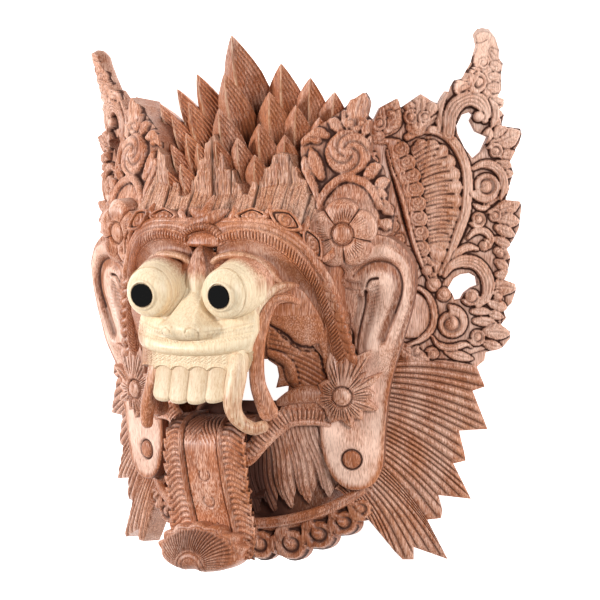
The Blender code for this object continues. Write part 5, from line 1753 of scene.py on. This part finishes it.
def make_muzzle():
    """Upper lip, nose with its nostril curls, and the bridge between the eyes."""
    rows, columns = 180, 191
    smooth = curve_through(MUZZLE_ROWS, 12)
    run = np.linspace(0, len(smooth) - 1, rows)
    line = np.stack([np.interp(run, np.arange(len(smooth)), smooth[:, i]) for i in range(4)], axis=1)
    share = np.linspace(-1.16, 1.16, columns)
    inner = np.clip(share, -1, 1)
    bend = unit(np.abs(share) - 0.97) / 0.19
    x = line[:, 1:2] * inner - np.sign(share) * 22 * bend ** 1.6
    rise = line[:, 3:4] * inner ** 2
    y = line[:, :1] + rise
    z = line[:, 2:3] - 14 * np.abs(inner) ** 2.6 - 36 * bend ** 1.2
    nose = curve_through(NOSE_ROWS[::-1], 10)
    width = np.interp(y, nose[:, 0], nose[:, 1])
    front = np.interp(y, nose[:, 0], nose[:, 2])
    off = np.abs(x) / width
    fall = np.interp(off, (0, 0.35, 0.7, 0.95, 1.2, 1.7, 2.4), (0, 0.3, 1.6, 4.0, 9.5, 20, 34))
    bridge = front - fall
    blend = 1 / (1 + np.exp(-np.clip((bridge - z) / 1.6, -30, 30)))
    z = np.where(line[:, :1] < -23.5, z, z * (1 - blend) + bridge * blend)
    # Edges of the bridge, nostril curls, and creases that follow the mouth
    z += 1.0 * peak(off, 0.80, 0.16) * (y > -12) * (y < 34)
    for side in (-1, 1):
        reach = np.hypot(x - side * 10.5, y + 18.5)
        z += 2.2 * hump(reach / 7.5) ** 0.6 * (z > 150)
        z -= 1.4 * peak(reach, 4.2, 0.9) * (np.arctan2(y + 18.5, side * x - 10.5) > -1.9)
    crease = line[:, :1]
    stitch = groove(x / 2.2 + 0.4 * crease, 0.6) * peak(crease, -25.4, 1.4)
    stitch = stitch + groove(x / 2.4 - 0.4 * crease, 0.6) * peak(crease, -20.8, 1.2)
    z -= 0.8 * stitch * (np.abs(x) > 6)
    z -= 0.4 * peak(crease, -23.6, 0.7)
    z -= 0.8 * peak(crease, -18.5, 0.8) * (np.abs(x) > 14)
    z -= 0.6 * peak(crease + 12.5, 0.05 * np.abs(x), 0.9) * (np.abs(x) > 17)
    z -= 0.5 * peak(crease + 7.0, 0.1 * np.abs(x), 0.8) * (np.abs(x) > 20)
    grid = np.stack([x, y, z], axis=2)
    hollow = z - blur_grid(z, 6)
    # Painted shade darkens the hollows of the muzzle
    dark = np.clip(-hollow * 0.6, 0, 0.75) * (bend <= 0)
    pale = fading(y, 25, 5) * grown(z, 122, 12)
    pale = pale * (1 - 0.6 * grown(-x, 35, 10) * fading(y, -10, 10))
    carving = Carving()
    carving.sheet(grid, pale=pale, dark=dark)
    carving.make("muzzle", 60, bloom=0.03)


TOOTH_EDGES = (-45.8, -30.4, -15.4, 0, 15.4, 30.4, 45.8)
TOOTH_HALF = 7.75
GUM_TOP, GUM_LOW, TEETH_LOW = -30.0, -45.9, -69.6


def gum_front(x):
    """How far forward the gum and the teeth stand at places across them."""
    return 176.5 - 5 * (x / 39) ** 2


def make_teeth():
    """The gum, the row of teeth under it, and a tusk on either side."""
    carving = Carving()
    edges = np.array(TOOTH_EDGES)
    middles = (edges[1:] + edges[:-1]) / 2

    def from_middle(x):
        return x - middles[np.abs(x[None] - middles[:, None]).argmin(axis=0)]

    # Gum with an arch over each tooth
    columns = np.linspace(-43, 43, 230)
    off = from_middle(columns)[None]
    low = GUM_LOW + 3.6 * dome(off / TOOTH_HALF)
    rows = np.linspace(0, 1, 34)[:, None]
    y = low + (GUM_TOP - low) * rows
    z = gum_front(columns)[None] + 0.8 + 0.8 * unit(1 - (y - low) / 2.0) ** 0.8
    dots = unit(np.sin(y * 3.4 + 2 * np.sin(columns[None] * 1.1)) * np.sin(columns[None] * 3.1 + 0.9 * y))
    dots = dots * fading(np.abs(columns[None]), 41, 3)
    z = z - 0.8 * dots * grown(y - low, 1.5, 1.5)
    grid = np.stack([np.broadcast_to(columns[None], y.shape), y, z], axis=2)
    fade = np.clip((columns + 44) / 16, 0.2, 1)[None]
    # Painted shade darkens the punched pits
    carving.sheet(grid, thick=12, pale=0.95 * fade, dark=0.45 * dots + 0.06)
    # The row of teeth under it
    columns = np.linspace(-30.2, 30.2, 241)
    off = from_middle(columns)[None]
    round_off = dome(off / TOOTH_HALF)
    low = TEETH_LOW + 0.0030 * columns[None] ** 2 + 2.6 * (1 - round_off)
    y = low + (-42.0 - low) * rows
    z = gum_front(columns)[None] - 2.0 + 1.7 * round_off
    z = z - 2.2 * unit(1 - (y - low) / 3.2) ** 2 + 6.5 * fading(y, -42, 27)
    grid = np.stack([np.broadcast_to(columns[None], y.shape), y, z], axis=2)
    # Painted shade darkens the seams between the teeth; painted shade and brown patina darken the band
    # under the gum and the whole row a little
    painted_seam_shade = 0.42 * unit(1 - (7.7 - np.abs(off)) / 0.8)
    shade_and_patina_under_gum = 0.25 * unit(1 - (-43.5 - y) / 2.5)
    carving.sheet(grid, thick=11, pale=0.93, dark=painted_seam_shade + shade_and_patina_under_gum + 0.20)
    near = ((36.4, -36, 168), (36.4, -48, 171), (35.2, -60, 173), (34.4, -69, 173.5), (36.4, -77, 172),
            (41, -83, 168.5), (47, -86, 165), (53, -84.5, 161.5))
    far = ((-31, -36, 166), (-33, -48, 167.5), (-37, -60, 167), (-41, -70, 166), (-43.5, -79, 164.5),
           (-44.5, -86, 163))
    carving.tube(near, (7.2, 7.4, 7.0, 6.2, 5.2, 4.8, 4.4), around=36, each=8,
                 pale=lambda s: np.interp(s, (0, 0.25, 0.5, 1), (0.80, 0.62, 0.42, 0.26)))
    carving.tube(far, (6.8, 6.8, 6.2, 5.6, 5.0, 4.4), around=36, each=8,
                 pale=lambda s: np.interp(s, (0, 0.2, 0.4, 1), (0.4, 0.15, 0.05, 0.0)))
    carving.make("teeth", 60, bloom=0.03)


# Cheeks and lower jaw
def make_cheeks():
    """Three bars beside the muzzle, and the cheek with the jaw's hatched leaf."""
    bars = Carving()
    bar = ((70, 3, 138), (67, 6, 144), (61, 6, 150), (56.5, 2, 152.5), (53.3, -4, 154), (50.6, -12, 155),
           (47.5, -26, 156), (45.6, -42, 155), (45.4, -55, 153), (47, -66, 149), (49, -76, 144))
    bar = [(x - 2.5, y, z) for x, y, z in bar]
    bars.tube(bar, (2.2, 3.1, 3.7, 4.2, 4.6, 5.0, 5.3, 5.6, 6.0, 6.7, 7.4), around=28, each=8,
              lift=lambda angle, share: -0.8 * groove((angle - 5.4) / 2.2, 0.35) * unit(share * 5))
    ridge = ((67, 15, 138), (63, 15.5, 142), (56.5, 14, 149), (52, 8.5, 154.5), (48, 2.5, 158.5),
             (45.5, -4, 161), (43.5, -15, 162), (42, -28, 161))
    bars.tube(ridge, (1.6, 2.8, 3.4, 3.6, 3.4, 3.0, 2.4), around=20, each=8,
              pale=lambda s: np.interp(s, (0, 0.3, 0.5, 1), (0.0, 0.25, 0.7, 0.9)))
    second = [(x + 3.4, y - 1.2, z - 5.0) for x, y, z in ridge[1:6]]
    # The second ridge, set back behind the first, is painted darker, as shade
    bars.tube(second, (1.6, 2.6, 2.8, 2.2, 1.4), around=18, each=8, dark=0.15,
              pale=lambda s: np.interp(s, (0, 0.5, 1), (0.0, 0.2, 0.6)))
    bars.make_pair("cheek_bar", 60, bloom=0.04)
    outline = seen((256, 292), (270, 285), (290, 282), (305, 292), (318, 312), (329, 336), (336, 372),
                   (330, 384), (316, 390), (300, 389), (287, 386), (276, 388), (279, 376), (277, 366),
                   (268, 360), (266, 340), (262, 318))
    relief = Relief(outline, ground=-1.0)
    relief.flat(seen((262, 300), (272, 325), (283, 338), (301, 352), (318, 352), (326, 371), (330, 390),
                     (296, 392), (287, 380), (283, 366), (270, 358), (264, 345)), 1.2)
    # Hatching of the jaw leaf
    x, y = relief.places.T
    leaf = inside_loop(relief.places, seen(
        (270, 322), (283, 336), (301, 350), (320, 350), (326, 371), (324, 388), (299, 384), (292, 366),
        (279, 355), (268, 348),
    ))
    along = x - y * 0.35
    relief.heights[leaf] -= 1.6 * groove((y + 0.30 * x + 0.004 * along ** 2) / 3.6, 0.55)[leaf]
    relief.band(seen((268, 353), (280, 357), (290, 366), (295, 382)), 7.0, 2.6, ends=(0.8, 0.8))
    # Smooth cheek with its wavy edge
    relief.flat(seen((254, 290), (262, 316), (272, 325), (280, 329), (289, 335), (295, 342), (301, 345),
                     (310, 346), (318, 344), (322, 356), (325, 372), (334, 378), (338, 360), (330, 330),
                     (316, 306), (300, 284), (280, 278)), 4.2, cut=2.2, reach=2.2)
    relief.soften(1)
    relief.round_edge(1.2)
    relief.carve(Seen(lambda x, y: head_front(x, y) + 1.0), -9).make_pair("cheek", bloom=0.03)


# Lower jaw: height, half width and reach forward of its rows, and the paths on it from the middle out
JAW_ROWS = (
    (-70, 58, 116), (-76, 60, 122), (-84, 62, 128), (-98, 60, 126), (-112, 58, 117), (-126, 62, 109),
)
LIP = (
    (0, -112, 134), (14, -111, 134), (24, -106, 133), (33, -95, 130), (41, -86, 126), (50, -79, 121),
    (62, -78, 113), (72, -80, 106),
)
JAW_LEAF = ((47, -76, 121), (58, -70, 116), (70, -70, 108), (80, -74, 100))
LOW_JAW_LEAF = ((44, -70, 124), (53, -66, 122), (64, -64, 116), (76, -65, 108))


def make_jaw():
    """The jaw's front, the hatched lower lip with a ridge under it, and two leaves at each end."""
    rings = np.array([half_ring(*row, 60, 2.6) for row in JAW_ROWS])
    rings[..., 2] = np.maximum(rings[..., 2], 70)
    grid = finer(rings, 40, 61)[::-1, ::-1]
    carving = Carving()
    # Painted shadow darkens the jaw behind the tongue, over painted shade on the whole of it
    carving.sheet(grid, dark=0.25 + 0.65 * fading(np.abs(grid[..., 0]), 48, 26))
    lip = both_sides(LIP)

    def lip_cuts(angle, share):
        return -1.5 * groove(share * 62, 0.55) * unit(np.cos(angle - 0.2) * 1.4)

    carving.tube(lip, (5.4, 5.8, 6.2, 6.2, 5.4, 5.0, 5.4, 6.2, 6.2, 5.8, 5.4), around=30, each=16,
                 depth=0.8, lift=lip_cuts)
    under = [(x * 1.03, y - 6.2, z - 1.5) for x, y, z in lip]
    carving.tube(under, (2.2, 2.8, 3.0, 2.8, 2.6, 2.6, 2.8, 3.0, 2.8, 2.2), around=14, each=8)
    for sign in (1, -1):
        leaf, low = np.array(JAW_LEAF) * (sign, 1, 1), np.array(LOW_JAW_LEAF) * (sign, 1, 1)
        carving.tube(leaf, (4.2, 6.5, 7.5, 5.5), around=24, depth=0.6, each=10, lift=cuts(0.7, 13, 0.5))
        # The lower leaves are painted darker, as shade
        carving.tube(low, (3.0, 5.4, 6.8, 6.0), around=20, each=8, depth=0.6, dark=0.2)
    carving.make("lower_jaw", bloom=0.2)


def make_beard():
    """Wavy strands that gather into pointed locks at their lower ends."""
    columns = np.linspace(-86, 86, 460)
    rows = np.linspace(0, 1, 110)[:, None]
    share = columns[None] / 80
    spread = 0.78 + 0.22 * (1 - rows)
    lock = columns[None] / 13.2 + 0.5
    off = 2 * np.abs(lock - np.floor(lock) - 0.5)
    low = -155 + 20 * share ** 2 + 14.0 * off
    top = -88 + 10 * share ** 2
    y = low + (top - low) * rows
    sway = 1.7 * np.sin(y / 8.5 + 0.5 * np.floor(lock)) * (1 - rows) ** 0.3
    x = columns[None] * (1.03 - 0.20 * rows * spread) + sway
    z = 121 - 22 * (x / 66) ** 2 - 0.20 * (-96 - y) + 2.5 * np.sin(unit(rows) * math.pi)
    strand = lock * 4.0
    parting = grown(off, 0.72, 0.28) ** 2 * unit(1 - rows * 3.0)
    height = -1.7 * groove(strand, 0.55) - 1.4 * parting
    height += 0.3 * np.cos(math.tau * strand)
    grid = np.stack([x, y, z], axis=2)
    carving = Carving()
    # Painted shadow of the tongue darkens the strands towards the middle, where they also get the least wax
    # colour
    shade = 0.02 + 0.95 * fading(np.abs(x), 44, 24) ** 1.2
    carving.sheet(grid, height, thick=7, dark=shade)
    carving.make("beard", bloom=lambda points: np.interp(np.abs(points[:, 0]), (26, 44, 80),
                                                         (0.02, 0.36, 0.52)))


# Neck rim from the middle out, and the fringe on its left half: arcs of its edge with middle, radius, from
# and to; curls with middle, radius and start; and the leaves between them with foot and direction
NECK = (
    (0, -161, 107), (22, -160, 106), (44, -156, 103), (66, -149, 97), (84, -138, 84), (92, -124, 74),
    (96, -116, 66),
)
FRINGE_ARCS = (
    (87, -149, 9, 40, -110), (75, -159, 10, 10, -130), (57, -168, 12, 10, -140), (36, -176, 13, 10, -140),
    (12, -177, 13, 10, -140),
)
FRINGE_CURLS = (
    (12, -176, 13.5, 90), (37, -175, 13.5, 100), (58, -167, 12.5, 110), (76, -158, 10.5, 120),
    (88, -148, 8.5, 130),
)
FRINGE_LEAVES = ((23.5, -172, -80), (47.5, -167, -75), (67, -158, -70), (82, -149, -60))


def make_neck():
    """A grooved rim under the chin, and the fringe of curls that hangs from it."""
    carving = Carving()
    carving.tube(both_sides(NECK), [4.0] * 9, around=28, each=12, depth=0.8,
                 lift=lambda angle, share: -0.9 * groove((angle - 0.9) / 0.75 + 0.5, 0.30) * (angle < 2.4))
    outline = [(0, -158), (30, -158), (52, -153), (72, -144), (88, -132), (96, -134)]
    for x, y, radius, start, end in FRINGE_ARCS:
        turn = np.radians(np.linspace(start, end, 12))
        outline += list(zip(x + radius * np.cos(turn), y + radius * np.sin(turn)))
    relief = Relief(outline + [(0, -186)], ground=-3.5)
    relief.band(((0, -163), (26, -163), (50, -157), (70, -148), (88, -136)), 7, 0.6, ends=(1, 1))
    for x, y, radius, start in FRINGE_CURLS:
        relief.hook(x, y, radius, 2.6, -1, start, 0.30, cut=2.6)
    for x, y, angle in FRINGE_LEAVES:
        direction = np.array((math.cos(math.radians(angle)), math.sin(math.radians(angle))))
        foot = np.array((x, y), float)
        relief.leaf((foot, foot + 7 * direction, foot + 15 * direction), 9, 2.2, veins=3.2)
    relief.soften(1)
    relief.round_edge(1.8)
    # The fringe's walls carry a little painted shade
    fringe = relief.carve(Bend(lambda x, y: 100 - 14 * (x / 76) ** 2 + 0.10 * (y + 165)), -11,
                          side_dark=0.15)
    carving.join(fringe)
    carving.join(fringe.mirror())
    carving.make("neck_and_fringe", bloom=0.04)


# Tongue: height, reach forward and half width along its middle line
TONGUE_LINE = (
    (-78, 92, 28), (-79, 120, 29), (-80, 142, 31), (-86, 155, 32), (-98, 160, 33), (-114, 159, 34),
    (-134, 156, 34), (-152, 151, 34.5), (-164, 149, 35), (-175, 150, 35), (-182, 152, 33),
)


def make_tongue():
    """The long tongue with toothed edges and a ribbed tip."""
    rows, columns = 250, 141
    line, length = even(TONGUE_LINE, rows)
    share = np.linspace(-1, 1, columns)
    place = np.linspace(0, length, rows)[:, None]
    size = np.abs(share[None])
    tooth = 1 - ((place + 4 * size) / 9.0 % 1.0)
    x = line[:, 2:3] * share[None] * (1 + 0.06 * tooth * grown(size, 0.82, 0.1))
    y = np.broadcast_to(line[:, :1], x.shape)
    z = line[:, 1:2] + 1.0 - 5.0 * share[None] ** 4
    middle = np.interp(-line[:, 0], (91, 118, 146, 165), (-2, 0.5, 3, 5))[:, None]
    reach = np.abs(x - middle)
    height = np.where(reach < 14.5, -0.9, 0.0)
    height = height + 2.0 * peak(reach, 16.4, 2.2) - 1.5 * peak(reach, 14.2, 0.9)
    wave = place / 4.3 + 0.55 * np.sin((reach - 17) / 17 * math.pi * 1.3) - reach * 0.05
    flank = grown(reach, 18, 2) * fading(size, 0.985, 0.03)
    height -= 1.25 * groove(wave, 0.66) * flank
    height -= 1.0 * grown(size, 0.84, 0.04) * unit(1 - tooth * 3.2)
    feather = grown(y, -99, 8) * (reach < 14.5)
    height -= 1.0 * groove((x + y * 0.7 * np.sign(x - middle)) / 3.2, 0.55) * feather
    for ring_y in (-122, -141.5, -160):
        ring = np.hypot(x - middle, y - ring_y)
        height -= 1.2 * peak(ring, 4.4, 1.0) * (y < ring_y + 3)
    grid = np.stack([x, y, z], axis=2)
    # Painted shadow of the teeth darkens the tongue's root
    shade = 0.6 * grown(y, -94, 10)
    carving = Carving()
    carving.sheet(grid[::-1], height[::-1], thick=10, dark=shade[::-1])
    # The tip curls up, so that its ribbed under side faces forward inside a scalloped rim
    turn = np.linspace(0, math.tau, 260, endpoint=False)
    out = np.linspace(0.001, 1, 74)[:, None]
    upper = unit(np.sin(turn))[None]
    scallop = 1 + 0.13 * np.abs(np.sin(turn * 7))[None] * unit((out - 0.8) * 5) * unit(upper * 4)
    tall = np.where(np.sin(turn) > 0, 20.5, 13.5)[None]
    x = 34.0 * out * np.cos(turn)[None] * scallop - 3.0
    y = -178.6 + tall * out * np.sin(turn)[None] * scallop
    z = 153.5 + 12.5 * np.sqrt(unit(1 - out ** 2.6)) + 4.5 * upper * out ** 3
    z = z + 3.5 * unit(-np.sin(turn))[None] * out
    heart = np.hypot(x + 7, (y + 190) * 0.95)
    around = np.arctan2(y + 190, x + 7)
    ribs = groove(around * 11.0 + 0.085 * heart, 0.62) * grown(heart, 12.5, 2) * unit((0.9 - out) * 12)
    height = -1.1 * ribs - 1.2 * peak(heart, 11.8, 0.9) - 1.0 * peak(heart, 8.0, 0.9)
    height = height - 2.0 * unit(1 - heart / 7.0) ** 0.7
    height = height - 0.9 * peak(out, 0.91, 0.025) * unit(upper * 5)
    grid = np.stack([x, y, z], axis=2)
    foot = grid[-1:] * (0.94, 1, 1) - (0, 0, 13.0)
    grid = np.concatenate([grid, (grid[-1:] + foot) / 2, foot])[::-1]
    height = np.pad(height, ((0, 2), (0, 0)))[::-1]
    # Painted shade darkens the hollow of the curl, more in its upper half
    hollow = 0.06 + 0.30 * unit((0.90 - out) * 12) * (0.5 + 0.5 * upper)
    hollow = np.pad(hollow, ((0, 2), (0, 0)), mode="edge")[::-1]
    carving.sheet(grid, height, closed=True, dark=hollow)
    carving.make("tongue", 60, bloom=0.07)


make_head()
make_crown()
make_flames()
make_temples()
make_ears()
make_flowers()
make_wings()
make_fans()
make_eyes()
make_brows()
make_headband()
make_forehead()
make_muzzle()
make_teeth()
make_cheeks()
make_jaw()
make_beard()
make_neck()
make_tongue()


# Floor, light and camera
WORLD_LIGHT = 0.32
FLOOR_GLOW = 0.95
FLOOR_HALF, FLOOR_DEPTH = 4, 0.0005
# Soft boxes: name, place, power and size
LAMPS = (("key", (-1.5, 0.2, 1.7), 48, 0.4), ("fill", (1.9, 0.5, 1.8), 37, 0.6))


def add_floor():
    """A white sheet that is lit from behind as well, so that the outline stands out against it."""
    look, shader = new_look("white_sheet")
    for label, value in (
        ("Base Color", (0.9, 0.9, 0.9, 1)), ("Roughness", 0.9), ("Emission Color", (1, 1, 1, 1)),
        ("Emission Strength", FLOOR_GLOW),
    ):
        shader.inputs[label].default_value = value
    corners = [(x * FLOOR_HALF, y * FLOOR_HALF, 0) for x, y in ((-1, -1), (1, -1), (1, 1), (-1, 1))]
    mesh = bpy.data.meshes.new("sheet")
    mesh.from_pydata(corners, [], [(0, 1, 2, 3)])
    mesh.materials.append(look)
    floor = placed("sheet", mesh)
    floor.location.z = -FLOOR_DEPTH
    floor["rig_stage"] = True


def add_lamp(name, place, power, size):
    """A square soft box that faces the mask."""
    data = bpy.data.lights.new(name, "AREA")
    data.energy = power
    data.size = size
    lamp = placed(name, data)
    lamp.location = place
    lamp.rotation_mode = "QUATERNION"
    lamp.rotation_quaternion = Vector(place).to_track_quat("Z", "Y")


def add_camera():
    """The camera stands half left of the mask and looks a little down on it."""
    data = bpy.data.cameras.new("camera")
    data.sensor_width = 36
    data.lens = data.sensor_width * CAMERA_DISTANCE / VIEW_WIDTH
    data.clip_end = 20
    right, up, back = [Vector(axis) for axis in view_axes()]
    camera = placed("camera", data)
    place = Matrix.Translation(Vector(CAMERA_TARGET) + Vector(SHIFT) + back * CAMERA_DISTANCE)
    camera.matrix_world = place @ Matrix((right, up, back)).transposed().to_4x4()
    bpy.context.scene.camera = camera


def light_world():
    """Even white light from all sides."""
    world = bpy.data.worlds.new("studio")
    bpy.context.scene.world = world
    world.use_nodes = True
    sky = world.node_tree.nodes["Background"]
    sky.inputs["Color"].default_value = (1, 1, 1, 1)
    sky.inputs["Strength"].default_value = WORLD_LIGHT


add_floor()
light_world()
for lamp_row in LAMPS:
    add_lamp(*lamp_row)
add_camera()
bpy.context.scene.view_settings.view_transform = "Standard"

LACQUER = lacquer_material()
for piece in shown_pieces():
    if piece.get("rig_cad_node", "").startswith("pupil"):
        for place in piece.material_slots:
            place.material = LACQUER
